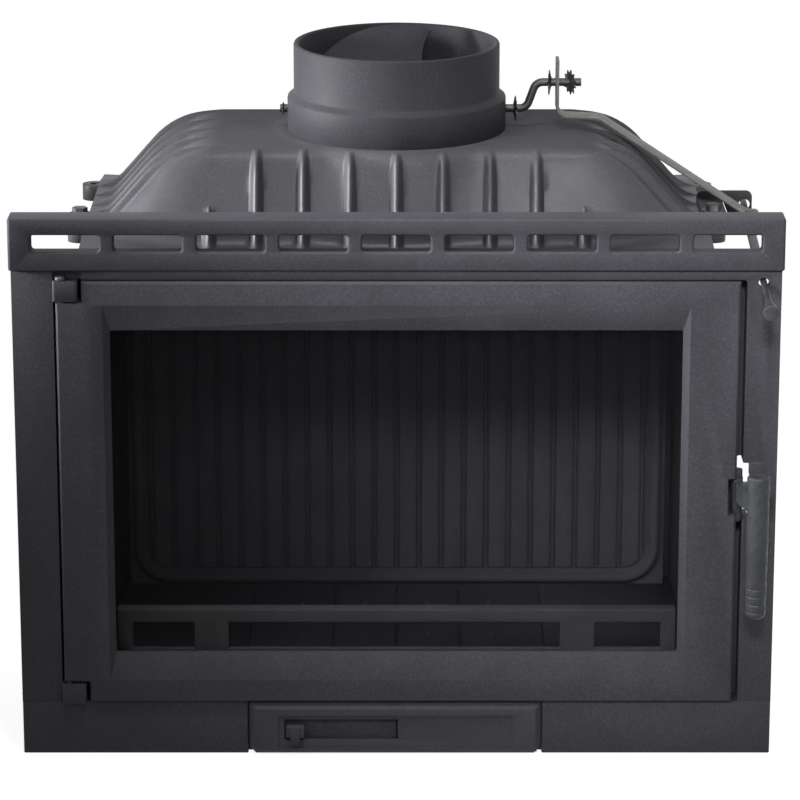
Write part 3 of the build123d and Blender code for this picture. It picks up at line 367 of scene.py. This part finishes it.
def steel(name, colour, metallic, rough, stain=0.35):
    """Mill-finish steel: a metal with darker stains and a faint roughness."""
    material, shader = new_material(name)
    links = material.node_tree.links
    base = np.array(colour)
    stains = noise(material, 70, 4.0, 0.6)
    fine = noise(material, 900, 2.0)
    tone = ramp(material, stains, [(0.35, base * (1 - stain)), (0.65, base * (1 + stain / 2))])
    gloss = ramp(material, fine, [(0.3, grey(rough - 0.08)), (0.7, grey(rough + 0.1))])
    links.new(tone, shader.inputs["Base Color"])
    links.new(gloss, shader.inputs["Roughness"])
    shader.inputs["Metallic"].default_value = metallic
    bump(material, shader, [(fine, 0.08, 0.2)])
    return material


def ceramic_pane(name):
    """Clear ceramic glass with a thin smoky film: mostly see-through, smooth, with faint smears."""
    material, shader = new_material(name)
    smears = ramp(material, noise(material, 9, 3.0), [(0.35, grey(0.03)), (0.7, grey(0.09))])
    material.node_tree.links.new(smears, shader.inputs["Roughness"])
    shader.inputs["Base Color"].default_value = (0.012, 0.012, 0.014, 1)
    shader.inputs["Alpha"].default_value = 0.2
    shader.inputs["Specular IOR Level"].default_value = 0.05
    shader.inputs["IOR"].default_value = 1.5
    return material


def knitted_rope(name):
    """Knitted glass-fibre rope: dark yarns whose crossings the mesh itself carries, with a fibre grain."""
    material, shader = new_material(name)
    fibre = noise(material, 1500, 3.0)
    tone = ramp(material, fibre, [(0.3, (0.02, 0.02, 0.021)), (0.7, (0.06, 0.06, 0.062))])
    material.node_tree.links.new(tone, shader.inputs["Base Color"])
    shader.inputs["Roughness"].default_value = 0.9
    shader.inputs["Sheen Weight"].default_value = 0.3
    bump(material, shader, [(fibre, 0.2, 0.5)])
    return material


front_paint = painted_iron("anthracite_paint", (0.056, 0.0555, 0.0645))
dome_paint = painted_iron("dome_paint", (0.055, 0.055, 0.062), grain=0.4, grain_size=1.6, mottle=0.12, rough=0.46,
                          shine=0.28, dull_from=dome_top - 5 * MM)
flue_paint = painted_iron("flue_paint", (0.036, 0.036, 0.042), grain=0.75, grain_size=1.9)
chamber_paint = painted_iron("chamber_paint", (0.066, 0.065, 0.074), grain=0.5, grain_size=1.8, rough=0.7, shine=0.04)
# the fireback's and the log guard's paints are the chamber's iron paint made lighter: the extra lightness is painted
# light, standing in for the light that falls on them through the window
fireback_paint = painted_iron("fireback_paint", (0.1, 0.098, 0.11), grain=0.5, grain_size=1.8, rough=0.7, shine=0.04)
guard_paint = painted_iron("guard_paint", (0.1, 0.099, 0.106), grain=0.5, grain_size=1.8, rough=0.55, shine=0.06)
handle_iron = painted_iron("handle_iron", (0.038, 0.04, 0.046), grain=1.0, grain_size=2.4, mottle=0.3, rough=0.42,
                           shine=0.24)
sheet_paint = painted_iron("sheet_paint", (0.045, 0.045, 0.05), grain=0.12, rough=0.45)
browned_steel = steel("browned_steel", (0.15, 0.138, 0.132), metallic=0.35, rough=0.55, stain=0.2)
black_steel = steel("black_steel", (0.075, 0.075, 0.08), metallic=0.6, rough=0.45)
pane_glass = ceramic_pane("ceramic_pane")
rope_yarn = knitted_rope("rope_yarn")

# ------------------------------------------------- parts that keep the CAD shape: paint, eased edge
IRON_CASTINGS = {
    "firebox": [
        ("plinth_left", front_paint, 1.0), ("plinth_right", front_paint, 1.0), ("front_frame", front_paint, 0.9),
        ("lintel", front_paint, 0.9), ("base_plate", chamber_paint, 0.8), ("left_side_wall", dome_paint, 0.8),
        ("right_side_wall", dome_paint, 0.8), ("back_wall", dome_paint, 0.8), ("hearth_plate", chamber_paint, 0.8),
        # the log guard's paint is lightened: painted light on the lit guard bar
        ("log_guard", guard_paint, 1.2), ("smoke_baffle", chamber_paint, 1.2),
        ("upper_hinge_lug", front_paint, 0.8), ("lower_hinge_lug", front_paint, 0.8),
    ],
    "door": [("door_frame", front_paint, 1.8)],
    "ash_drawer": [("drawer_front", front_paint, 0.8)],
    "damper": [("damper_disc", flue_paint, 0.5)],
}
for body, rows in IRON_CASTINGS.items():
    for node, material, edge in rows:
        casting(node + "_cast", node, body, material, edge)

OTHER_PARTS = [
    ("ash_housing", "firebox", "sheet_steel", sheet_paint, 0.4),
    ("guide_bracket", "firebox", "sheet_steel", sheet_paint, 0.5),
    ("ash_pan", "ash_drawer", "sheet_steel", sheet_paint, 0.3),
    ("air_slider", "air_slide", "sheet_steel", chamber_paint, 0.7),
    ("handle_lever", "handle", "handle_casting", handle_iron, 1.2),
    ("lintel_screws", "firebox", "fasteners", black_steel, 0.4),
    ("frame_bolts", "firebox", "fasteners", black_steel, 0.5),
    ("spigot_bolts", "firebox", "fasteners", black_steel, 0.5),
    ("hinge_pins", "firebox", "fasteners", black_steel, 0.5),
    ("glass_clips", "door", "fasteners", black_steel, 0.3),
    ("clip_screws", "door", "fasteners", black_steel, 0.5),
    ("handle_pin", "door", "fasteners", black_steel, 0.4),
    ("damper_screws", "damper", "fasteners", black_steel, 0.5),
    ("link_bar", "pull_rod", "bare_steel", browned_steel, 0.4),
]
for node, body, slot, material, edge in OTHER_PARTS:
    casting(node + "_made", node, body, material, edge)
# only the front pair of the dome's bolts shows
casting("dome_bolts_made", "dome_bolts", "firebox", black_steel, 0.6, behind=50 * MM)


# --------------------------------------------------------------------------------------- dome
top_half_x, top_half_y = 165 * MM, 82 * MM
# lean of the straight part, radius of the crest's arc, radius of the foot's arc
FLANKS = {"side": (math.radians(48.6), 77 * MM, 40 * MM), "front": (math.radians(66.9), 18 * MM, 12 * MM)}
dome_rise, front_extra = dome_top - flange_top, 8.5 * MM
dome_wall = 6 * MM
dome_hole_r = 98 * MM
flange_x, flange_y = (-290 * MM, 290 * MM), (-150 * MM, 151 * MM)
rib_places = [number * 43 * MM for number in range(-4, 5)]
rib_half, rib_height = 7 * MM, 12 * MM
side_rib_places = [number * 40 * MM for number in range(-2, 3)]
side_rib_half, side_rib_height = 4.3 * MM, 12 * MM


def flank_run(which):
    """Outward reach from the edge of the flat top to the foot of a flank."""
    lean, crest, foot = FLANKS[which]
    rise = dome_rise + (front_extra if which == "front" else 0)
    straight = rise - (crest + foot) * (1 - math.cos(lean))
    return (crest + foot) * math.sin(lean) + straight / math.tan(lean)


def flank_drop(reach, which):
    """Drop of a flank at an outward reach: a convex arc at the crest, a straight lean, and a concave
    arc at the foot."""
    lean, crest, foot = FLANKS[which]
    arc_end, run = crest * math.sin(lean), flank_run(which)
    foot_start = run - foot * math.sin(lean)
    on_crest = crest - np.sqrt(np.maximum(crest ** 2 - np.clip(reach, 0, arc_end) ** 2, 0))
    straight = np.clip(reach - arc_end, 0, foot_start - arc_end) * math.tan(lean)
    into_foot = np.clip(run - reach, 0, foot * math.sin(lean))
    left = foot - np.sqrt(np.maximum(foot ** 2 - into_foot ** 2, 0))
    whole = foot * (1 - math.cos(lean))
    return on_crest + straight + np.where(reach > foot_start, whole - left, 0)


def ridge(offset, half_width):
    """Rounded ridge across a rib: one less the squared share of the half width, to the power 1.5."""
    return (1 - np.clip(np.abs(offset) / half_width, 0, 1) ** 2) ** 1.5


def front_edge(x):
    """Half depth of the flat top at x: it swells round the flue, as the soft larger of the plain half
    depth and the circle of the collar's seat."""
    circle = np.sqrt(np.maximum((collar_r + 3 * MM) ** 2 - x ** 2, 0))
    return (circle + top_half_y + np.sqrt((circle - top_half_y) ** 2 + (5 * MM) ** 2)) / 2


def dome_height(x, y, ribs=True, inset=0.0):
    """Height of the dome at each place of the plan. The distance beyond the flat top is a rounded
    combination of its two directions; the front and side flanks are blended by their share of it.
    Ribs pull that distance inwards, so they stand out from the flank."""
    run_x, run_y = flank_run("side"), flank_run("front")
    edge = front_edge(x)
    run_here = top_half_y + run_y - edge
    beyond_x = np.maximum(np.abs(x) - (top_half_x - inset), 0)
    beyond_y = np.maximum(np.abs(y) - (edge - inset), 0)
    if ribs:
        share = beyond_y / run_here
        # the ribs fade in down the flank, later on the rear one, and last where the flat top has ended
        tall = smooth_step(np.where(y < 0, 0.03, 0.3), 0.6, share)
        short = smooth_step(0.6, 0.8, share)
        slim = rib_half * (0.55 + 0.45 * smooth_step(0, 0.5, share))
        across = sum(ridge(x - place, slim) * (tall if abs(place) < top_half_x else short) for place in rib_places)
        beyond_y = np.maximum(beyond_y - across * rib_height, 0)
        along = sum(ridge(y - place, side_rib_half) for place in side_rib_places)
        lift = smooth_step(-22 * MM, 40 * MM, np.abs(x) - top_half_x)
        beyond_x = np.maximum(beyond_x - along * side_rib_height * lift, 0)
    roundness = 2.6
    far_x, far_y = (beyond_x / run_x) ** roundness, (beyond_y / run_here) ** roundness
    reach = (far_x + far_y) ** (1 / roundness)
    weight = far_x / np.maximum(far_x + far_y, 1e-12)
    drop = weight * flank_drop(reach * run_x, "side") + (1 - weight) * flank_drop(reach * run_y, "front")
    return dome_top - drop


def dome_lines(places, half, limits, fine, coarse):
    """Grid lines along one axis: close together across each rib, wider between."""
    lines = [np.arange(limits[0], limits[1], coarse)]
    lines += [place + np.linspace(-half, half, fine) for place in places]
    lines = np.unique(np.round(np.concatenate(lines + [np.array(limits)]), 6))
    keep = np.concatenate([[True], np.diff(lines) > 0.35 * MM])
    keep[-1] = True
    return lines[keep]


def build_dome():
    """The dome as a height over the plane: an outer and an inner sheet on one grid, joined by walls
    round the flange and round the flue hole, whose nearest points are moved on to a circle."""
    x_lines = dome_lines(rib_places, rib_half, flange_x, 19, 6 * MM)
    y_lines = dome_lines(side_rib_places, 5 * MM, flange_y, 11, 2.2 * MM)
    x, y = np.meshgrid(x_lines, y_lines, indexing="ij")
    radius = np.hypot(x, y)
    # the flat top rises to the collar's seat, and the flange falls to the foot of the front flank
    seat_r, seat_rise, seat_fade, seat_top = 103 * MM, 7 * MM, 3.5 * MM, dome_top + 1.2 * MM
    seat = seat_rise * np.exp(-np.maximum(radius - seat_r, 0) / seat_fade)
    flange = flange_top - front_extra * smooth_step(108 * MM, 124 * MM, np.abs(y))
    top = np.maximum(np.minimum(dome_height(x, y) + seat, seat_top), flange)
    cavity_x, cavity_y, least_wall = 284 * MM, 137 * MM, 4 * MM
    under = np.minimum(dome_height(x, y, False, 5 * MM) - dome_wall, top - least_wall)
    inside = (np.abs(x) < cavity_x) & (np.abs(y) < cavity_y)
    under = np.where(inside, np.maximum(under, flange_foot), flange_foot)
    solid = radius > dome_hole_r
    cells = solid[:-1, :-1] & solid[1:, :-1] & solid[1:, 1:] & solid[:-1, 1:]
    some, all_round = np.zeros(solid.shape, bool), np.ones(solid.shape, bool)
    for i, j in ((0, 0), (1, 0), (1, 1), (0, 1)):
        beside = slice(i, i + cells.shape[0]), slice(j, j + cells.shape[1])
        some[beside] |= cells
        all_round[beside] &= cells
    hole_edge = some & ~all_round & (radius < dome_hole_r + 9 * MM)
    scale = np.where(hole_edge, dome_hole_r / np.maximum(radius, 1e-9), 1)
    x, y = x * scale, y * scale
    return closed_sheets("dome_shell", np.stack([x, y, top], -1), np.stack([x, y, under], -1), 50, cells)


def build_dome_ring():
    """Ring on the dome that carries the collar, and the two pads for the dome's front bolts, all turned."""
    r, rise = collar_r + 1.5 * MM, 2 * MM
    foot = dome_top - 7 * MM
    profile = [(flue_hole_r, foot), (r - 1 * MM, foot), (r, dome_top - rise), (r - 0.5 * MM, dome_top - 0.5 * MM),
               (r - rise, dome_top), (flue_hole_r, dome_top)]
    grids = [lathe(profile, steps=160)]
    bolt_r, pad_r, pad_x, pad_y = 4.3 * MM, 14 * MM, 298 * MM, -39 * MM
    pad = [(bolt_r, flange_foot), (pad_r, flange_foot), (pad_r, flange_top - 1 * MM), (pad_r - 1 * MM, flange_top),
           (bolt_r, flange_top)]
    grids += [lathe(pad, (side * pad_x, pad_y, 0), steps=48) for side in (-1, 1)]
    return mesh_of("dome_ring", grids)


piece("dome_shell", build_dome(), "firebox", dome_paint, ["dome"])
piece("dome_ring", build_dome_ring(), "firebox", dome_paint, ["dome"])


# --------------------------------------------------------------------------------------- flue
def build_spigot():
    """Flue spigot: a turned profile with a thin rounded rim, a soft step and a wider collar."""
    step, foot, neck_r = dome_top + 34 * MM, dome_top - 6 * MM, flue_hole_r - 0.5 * MM
    profile = [
        (bore_r, foot), (neck_r, foot), (neck_r, dome_top),
        (collar_r - 1 * MM, dome_top), (collar_r, dome_top + 1 * MM), (collar_r, step - 3.5 * MM),
        (collar_r - 0.5 * MM, step - 2.2 * MM), (spigot_r + 1 * MM, step + 1.2 * MM), (spigot_r, step + 3.2 * MM),
        (spigot_r, spigot_top - 2 * MM), (spigot_r - 0.6 * MM, spigot_top - 0.6 * MM),
        (spigot_r - 1.7 * MM, spigot_top), (bore_r + 1.2 * MM, spigot_top - 0.5 * MM), (bore_r, spigot_top - 2 * MM),
    ]
    return mesh_of("flue_ring", [lathe(profile, steps=192)], 45)


def build_shaft():
    """Damper shaft: a round bar along a cranked path with soft bends."""
    left, right = low("damper_shaft")[0], high("damper_shaft")[0]
    pin_z = damper_z + crank_rise
    start, crank_run, bend_r, bar_r = collar_r + 19.5 * MM, 9 * MM, 9 * MM, 3.8 * MM
    corners = [(left, 0, damper_z), (start, 0, damper_z), (start + crank_run, 0, pin_z), (right, 0, pin_z)]
    return mesh_of("crank_shaft", [sweep(rounded_path(corners, bend_r), circle_section(bar_r), (0, 1, 0))])


def build_stars():
    """Star lock washers: dished rings cut into pointed teeth. The rim's radius runs between root and tip
    as a sharpened wave, the dish moves it along the shaft, and each ring sits a little askew."""
    teeth, root, tooth, dish, half_sheet = 11, 8.6, 3.4, 2.6 * MM, 0.35 * MM
    turn = full_turn(teeth * 8)
    wave = np.abs(((turn * teeth / (2 * math.pi)) % 1) * 2 - 1) ** 1.3
    grids = []
    # place along the shaft, 1 beyond the crank, side that it faces, askew, size
    for middle, raised, facing, askew, size in (
            (-collar_r - 3 * MM, 0, -1, 0.05, 0.5), (collar_r + 8 * MM, 0, 1, -0.08, 1),
            (collar_r + 42.2 * MM, 1, -1, 0.12, 1), (collar_r + 59 * MM, 1, 1, -0.45, 1)):
        tip = (root + tooth * wave * (1 + 0.16 * np.sin(3 * turn + 9 * askew))) * size * MM
        rings = []
        for share, side in ((0.47, -1), (0.75, -1), (1.0, -1), (1.0, 1), (0.75, 1), (0.47, 1)):
            r = tip if share == 1.0 else share * root * max(size, 0.6) * MM
            along = facing * (dish * share ** 2 - 1.2 * MM) + side * half_sheet + askew * r * np.cos(turn)
            rings.append(np.stack([middle + along, r * np.cos(turn), r * np.sin(turn)], -1))
        grids.append((np.stack(rings) + np.array([0, 0, damper_z + raised * crank_rise]), True, True))
    return mesh_of("star_washers", grids, 30)


piece("flue_ring", build_spigot(), "firebox", flue_paint, ["flue_spigot"])
piece("crank_shaft", build_shaft(), "damper", black_steel, ["damper_shaft"])
piece("lock_stars", build_stars(), "damper", black_steel, ["star_washers"])


# ------------------------------------------------------------------- blocks of painted shade beside the drawer, and latch lip
def build_drawer_gap_shade_blocks():
    """Dark blocks behind the ends of the drawer's front, between the ash housing and the plinths: painted shade,
    filling the gaps beside the drawer where only shade is seen.
    """
    front, back, top = high("drawer_front")[1] + 1 * MM, high("plinth_left")[1], low("front_frame")[2] - 0.2 * MM
    ends = ((high("plinth_left")[0] - 0.5 * MM, low("ash_housing")[0] - 0.2 * MM),
            (high("ash_housing")[0] + 0.2 * MM, low("plinth_right")[0] + 0.5 * MM))
    return mesh_of("drawer_stops", [eased_block(*end, 1 * MM, top, front, back, 0.8 * MM) for end in ends], 45)


def build_latch_lip():
    """Lip of the frame over the latch notch, beside the handle's barrel."""
    left = (low("handle_pin")[0] + high("handle_pin")[0]) / 2 + 10.5 * MM
    right = high("front_frame")[0] - 10 * MM
    foot, front = high("handle_lever")[2] + 2.3 * MM, low("front_frame")[1]
    block = eased_block(left, right, foot, foot + 13.5 * MM, front - 0.03 * MM, front + 6 * MM, 1.4 * MM)
    return mesh_of("latch_lip", [block], 45)


# dark blocks of painted shade in the gaps beside the drawer's front
piece("drawer_stops", build_drawer_gap_shade_blocks(), "firebox", chamber_paint)
piece("latch_lip", build_latch_lip(), "firebox", front_paint)


# ------------------------------------------------------------------------------------ pull rod
def build_rod():
    """Pull rod and knob: a round bar whose section is hammered flat over one stretch, and a knob that
    flares as an eased cone and ends flat, with a rounded rim."""
    rod_r, knob_r, rim_r = 3 * MM, 7.5 * MM, 1.2 * MM
    tilt = math.atan2(joints["rod_pull"]["axis"][2], joints["rod_pull"]["axis"][1])
    way = np.array([0, math.cos(tilt), math.sin(tilt)])
    corner_low, corner_high = low("pull_rod"), high("pull_rod")
    start = np.array([(corner_low[0] + corner_high[0]) / 2, corner_high[1], corner_high[2] - rod_r])
    length = (corner_high[1] - corner_low[1]) / abs(way[1])
    along = np.unique(np.concatenate([np.linspace(0, length, 90), length - np.linspace(0, rim_r, 6)]))
    knob_start, knob_end = length - 34 * MM, length + 6 * MM
    flare = smooth_step(knob_start, knob_end, along) / smooth_step(knob_start, knob_end, length)
    end = np.clip((along - (length - rim_r)) / rim_r, 0, 1)
    radius = rod_r + (knob_r - rod_r) * flare - 1.1 * MM * (1 - np.sqrt(1 - end ** 2))
    # the hammered stretch, from behind
    flat = smooth_step(76 * MM, 84 * MM, along) * (1 - smooth_step(158 * MM, 170 * MM, along))
    turn = full_turn(28)
    dents = 1 + 0.05 * flat[:, None] * np.sin(along[:, None] * 900 + 2 * np.cos(turn))
    wide = (radius * (1 + 0.5 * flat))[:, None] * np.cos(turn) * dents
    tall = (radius * (1 - 0.55 * flat))[:, None] * np.sin(turn) * dents
    path = start + along[:, None] * way
    sideways, up = np.array([1, 0, 0]), np.cross(way, [1, 0, 0])
    rings = path[:, None] + wide[..., None] * sideways + tall[..., None] * up
    return mesh_of("rod_and_knob", [(closed_ends(rings), False, True)], 60)


piece("rod_and_knob", build_rod(), "pull_rod", black_steel, ["pull_rod"])


# --------------------------------------------------------------------------------- door handle
def build_grip():
    """Hand grip: a turned bar with a dished top, a slight taper, four turned rings and a rounded foot.
    The skin is lumpy as cast: a sum of slow sine waves round and along it."""
    corner_low, corner_high = low("handle_grip"), high("handle_grip")
    centre = (corner_low + corner_high) / 2
    foot, top = corner_low[2], corner_high[2]
    ring_places, ring_depth = (7.5, 15, 22.5, 30), 0.75 * MM
    heights = np.concatenate([np.linspace(foot, foot + 40 * MM, 110), np.linspace(foot + 41 * MM, top - 2.2 * MM, 50)])
    share = (heights - foot) / (top - foot)
    radius = (corner_high[0] - corner_low[0]) / 2 - 0.1 * MM - 1.0 * MM * (1 - share) ** 1.3
    rings = sum(np.exp(-((heights - foot - place * MM) / (0.75 * MM)) ** 2) for place in ring_places)
    end = np.clip(1 - (heights - foot) / (6 * MM), 0, 1)
    radius = (radius - ring_depth * rings) * np.sqrt(np.maximum(1 - 0.72 * end ** 2, 0))
    turn = full_turn(72)
    lumps = 0.12 * MM * (np.sin(3 * turn + heights[:, None] * 260) + np.sin(5 * turn - heights[:, None] * 410)
                         + np.sin(11 * turn + heights[:, None] * 900))
    skin = radius[:, None] + lumps
    bar = np.stack([skin * np.cos(turn), skin * np.sin(turn), heights[:, None] + 0 * turn], -1)
    cap = []
    for inward, drop in ((0.25, -1.3), (1.1, -0.35), (2.2, 0.0), (3.2, -0.35), (4.6, -1.2), (7.5, -1.7)):
        r = radius[-1] - inward * MM
        cap.append(np.stack([r * np.cos(turn), r * np.sin(turn), 0 * turn + top + drop * MM], -1))
    whole = closed_ends(np.concatenate([bar, np.array(cap)]))
    return mesh_of("hand_grip", [(whole + np.array([centre[0], centre[1], 0]), False, True)], 50)


piece("hand_grip", build_grip(), "handle", handle_iron, ["handle_grip"])


# --------------------------------------------------------------------------- fireback and grate
def build_fireback():
    """Fireback: a closed slab whose face is a height over its plane. The panel's outline is a rectangle
    with round lower corners. Inside it, every 22.3 mm, a groove runs up with a thin bead along its
    middle; outside it the face swells into a rounded lip. Both follow the distance from the outline."""
    a, b = low("fireback"), high("fireback")
    half, foot, corner = 250 * MM, a[2] + 15.5 * MM, 24 * MM
    groove_depth, bead_height, lip_height = 4.5 * MM, 3.6 * MM, 7 * MM
    flutes = np.arange(-11, 12) * 22.3 * MM
    steps = np.array([-3.6, -3.1, -2.6, -1.5, -1.1, -0.7, 0, 0.7, 1.1, 1.5, 2.6, 3.1, 3.6]) * MM
    rim = np.arange(224 * MM, b[0] + 7 * MM, 1.5 * MM)
    columns = grid_lines(lines_about(flutes, steps), rim, -rim)
    rows = np.concatenate([np.arange(a[2], foot + corner + 6 * MM, 1.4 * MM),
                           np.linspace(foot + corner + 9 * MM, b[2], 12)])
    x, z = np.meshgrid(columns, rows, indexing="ij")
    over_x, over_z = np.abs(x) - half, foot - z
    round_x, round_z = np.maximum(over_x + corner, 0), np.maximum(over_z + corner, 0)
    beyond = np.where((round_x > 0) & (round_z > 0), np.hypot(round_x, round_z) - corner,
                      np.maximum(over_x, over_z))
    nearest = distance_to(x, flutes)
    groove = (groove_depth * (1 - smooth_step(2.5 * MM, 3.2 * MM, nearest))
              - bead_height * (1 - smooth_step(0.8 * MM, 1.5 * MM, nearest)))
    groove = groove * (1 - smooth_step(-3 * MM, -0.6 * MM, beyond))
    seam = 2.4 * MM * np.exp(-((beyond - 0.5 * MM) / (1.3 * MM)) ** 2)
    lip = lip_height * smooth_step(1 * MM, 7 * MM, beyond) * (1 - smooth_step(9.5 * MM, 16.5 * MM, beyond))
    front = np.stack([x, a[1] + groove + seam - lip, z], -1)
    back = np.stack([x, 0 * x + b[1], z], -1)
    return closed_sheets("fluted_fireback", front, back, 40)


def build_grate():
    """Grate: a closed slab whose top is a height over the plane. Three grooves part it into four fields,
    and each field carries studs, round steps of the distance from their middles."""
    a, b = low("grate"), high("grate")
    top = low("hearth_plate")[2] + 7 * MM
    seams, lanes = np.array([-61, 0, 61]) * MM, np.array([-91.5, -30.5, 30.5, 91.5]) * MM
    stud_rows = np.array([-91, -52, 1, 37]) * MM
    seam_steps, stud_steps = np.array([-1.8, -1.3, 0, 1.3, 1.8]) * MM, np.linspace(-4.6, 4.6, 14) * MM
    x = grid_lines(np.linspace(a[0], b[0], 60), lines_about(seams, seam_steps), lines_about(lanes, stud_steps))
    y = grid_lines(np.linspace(a[1], b[1], 40), lines_about(stud_rows, stud_steps))
    x, y = np.meshgrid(x, y, indexing="ij")
    groove = 5 * MM * (1 - smooth_step(1.25 * MM, 1.85 * MM, distance_to(x, seams)))
    from_stud = np.hypot(distance_to(x, lanes), distance_to(y, stud_rows))
    stud = 4.5 * MM * (1 - smooth_step(2.6 * MM, 4.4 * MM, from_stud))
    upper = np.stack([x, y, top - groove + stud], -1)
    lower = np.stack([x, y, 0 * x + a[2]], -1)
    return closed_sheets("fire_grate", upper, lower, 40)


# the fireback's paint is lightened: painted light on the lit fireback
piece("fluted_fireback", build_fireback(), "firebox", fireback_paint, ["fireback"])
piece("fire_grate", build_grate(), "firebox", chamber_paint, ["grate"])


# ---------------------------------------------------------------------------------- seals, pane
def build_rope():
    """Door seal rope: a round section carried round the door, its radius rippled by two opposed
    helices that cross as knitted yarns do."""
    a, b = low("door_gasket"), high("door_gasket")
    rope_r, corner, lay, ripple = 4 * MM, 20 * MM, 9 * MM, 0.09
    left, right, foot, top = a[0] + rope_r, b[0] - rope_r, a[2] + rope_r, b[2] - rope_r
    across, upright, arc = right - left - 2 * corner, top - foot - 2 * corner, corner * math.pi / 2
    ends = np.cumsum([across, arc, upright, arc] * 2)
    total = 2 * (across + upright) + 4 * arc
    s = np.linspace(0, total, 1400, endpoint=False)
    heading = np.zeros_like(s)
    for arc_end in ends[1::2]:
        heading += np.clip((s - arc_end + arc) / arc, 0, 1) * math.pi / 2
    step = total / len(s)
    way_x, way_z = np.cos(heading), np.sin(heading)
    x = left + corner + np.concatenate([[0], np.cumsum(way_x)[:-1]]) * step
    z = foot + np.concatenate([[0], np.cumsum(way_z)[:-1]]) * step
    centre = np.stack([x, 0 * x + (a[1] + b[1]) / 2, z], -1)
    turn = full_turn(16)
    phase = s[:, None] / total * 2 * math.pi * round(total / lay)
    radius = rope_r * (1 - ripple + ripple * np.cos(4 * turn + phase) * np.cos(4 * turn - phase))
    out = np.stack([way_z, 0 * way_z, -way_x], -1)[:, None] * (radius * np.cos(turn))[..., None]
    deep = np.array([0, 1.0, 0]) * (radius * np.sin(turn))[..., None]
    return mesh_of("door_rope", [(centre[:, None] + out + deep, True, True)], 60)


piece("door_rope", build_rope(), "door", rope_yarn, ["door_gasket"])
casting("glass_tape", "glass_gasket", "door", rope_yarn, 0.3)
casting("glass_pane", "door_glass", "door", pane_glass, 0.3)

# ------------------------------------------------------------------------ stage, light, camera
FLOOR_HALF = 9.0
PHOTO_SIDE = 800
SENSOR = 36.0


def seen_or_mirrored(owner):
    """Socket that is 1 for camera, transmission and glossy rays, and 0 for the rays that light the
    object."""
    rays = add(owner, "ShaderNodeLightPath")
    share = rays.outputs["Is Camera Ray"]
    for kind in ("Is Transmission Ray", "Is Glossy Ray"):
        larger = add(owner, "ShaderNodeMath", operation="MAXIMUM")
        owner.node_tree.links.new(share, larger.inputs[0])
        owner.node_tree.links.new(rays.outputs[kind], larger.inputs[1])
        share = larger.outputs[0]
    return share


def plain_floor():
    """White floor: for camera, glossy and transmission rays most of its white is its own, and the rest
    is lit, so that it keeps the object's shadow."""
    mesh = bpy.data.meshes.new("floor")
    h = FLOOR_HALF
    mesh.from_pydata([(-h, -h, 0), (h, -h, 0), (h, h, 0), (-h, h, 0)], [], [(0, 1, 2, 3)])
    floor = bpy.data.objects.new("floor", mesh)
    bpy.context.scene.collection.objects.link(floor)
    floor.location.z = -0.2 * MM
    material, shader = new_material("white_floor")
    mesh.materials.append(material)
    shader.inputs["Base Color"].default_value = (*grey(0.45), 1)
    shader.inputs["Roughness"].default_value = 0.9
    shader.inputs["Specular IOR Level"].default_value = 0.1
    shader.inputs["Emission Color"].default_value = (*grey(1), 1)
    strength = add(material, "ShaderNodeMath", operation="MULTIPLY")
    strength.inputs[1].default_value = 0.86
    material.node_tree.links.new(seen_or_mirrored(material), strength.inputs[0])
    material.node_tree.links.new(strength.outputs[0], shader.inputs["Emission Strength"])


def plain_world():
    """White to the camera, in clear glass and in reflections, a soft grey as light."""
    world = bpy.data.worlds.new("studio")
    bpy.context.scene.world = world
    world.use_nodes = True
    background = world.node_tree.nodes["Background"]
    level = add(world, "ShaderNodeMapRange", to_min=0.3, to_max=1.0)
    background.inputs["Color"].default_value = (*grey(1), 1)
    world.node_tree.links.new(seen_or_mirrored(world), level.inputs["Value"])
    world.node_tree.links.new(level.outputs["Result"], background.inputs["Strength"])


def soft_light(name, place, target, size, spread, power):
    """Square area lamp at a place, turned to a target, whose beam keeps to the spread in radians."""
    data = bpy.data.lights.new(name, "AREA")
    data.energy, data.size, data.spread = power, size, spread
    lamp = bpy.data.objects.new(name, data)
    bpy.context.scene.collection.objects.link(lamp)
    lamp.location = place
    lamp.visible_camera = False
    lamp.rotation_mode = "QUATERNION"
    lamp.rotation_quaternion = (Vector(target) - Vector(place)).to_track_quat("-Z", "Y")


def photo_camera(distance, height, tilt, focal_px, shift, x):
    """Camera in front of the frame's face: distance, height and x in metres, tilt down in degrees,
    focal length in pixels of the photograph, shift in widths of the picture."""
    data = bpy.data.cameras.new("camera")
    data.sensor_width = SENSOR
    data.lens = focal_px * SENSOR / PHOTO_SIDE
    data.shift_y = shift
    data.clip_start, data.clip_end = 0.05, 100
    camera = bpy.data.objects.new("camera", data)
    bpy.context.scene.collection.objects.link(camera)
    camera.location = (x, low("lintel")[1] + 4 * MM - distance, height)
    camera.rotation_euler = (math.radians(90 - tilt), 0, 0)
    bpy.context.scene.camera = camera


plain_floor()
plain_world()
soft_light("front_high", (-1.3, -2.2, 1.3), (0.4, -0.19, 0.42), 0.35, 0.5, 0.1)
soft_light("front_low", (-1.0, -1.7, 1.0), (0.38, -0.1, 0.35), 0.3, 0.5, 0.15)
soft_light("right_stile", (0.15, -2.15, 1.62), (0.28, -0.19, 0.42), 0.35, 0.42, 0.78)
soft_light("from_left", (-1.35, -1.55, 1.5), (0.3, -0.1, 0.38), 0.3, 0.5, 0.65)
soft_light("left_flank", (-1.5, -0.22, 0.72), (-0.05, -0.1, 0.53), 0.3, 0.5, 1.9)
soft_light("lintel_top", (0, -0.6, 1.8), (0, -0.2, 0.5), 0.4, 0.45, 0.45)
photo_camera(distance=3.2, height=1.298, tilt=15.1, focal_px=3668, shift=-0.12, x=0.0032)
bpy.context.scene.view_settings.view_transform = "Standard"
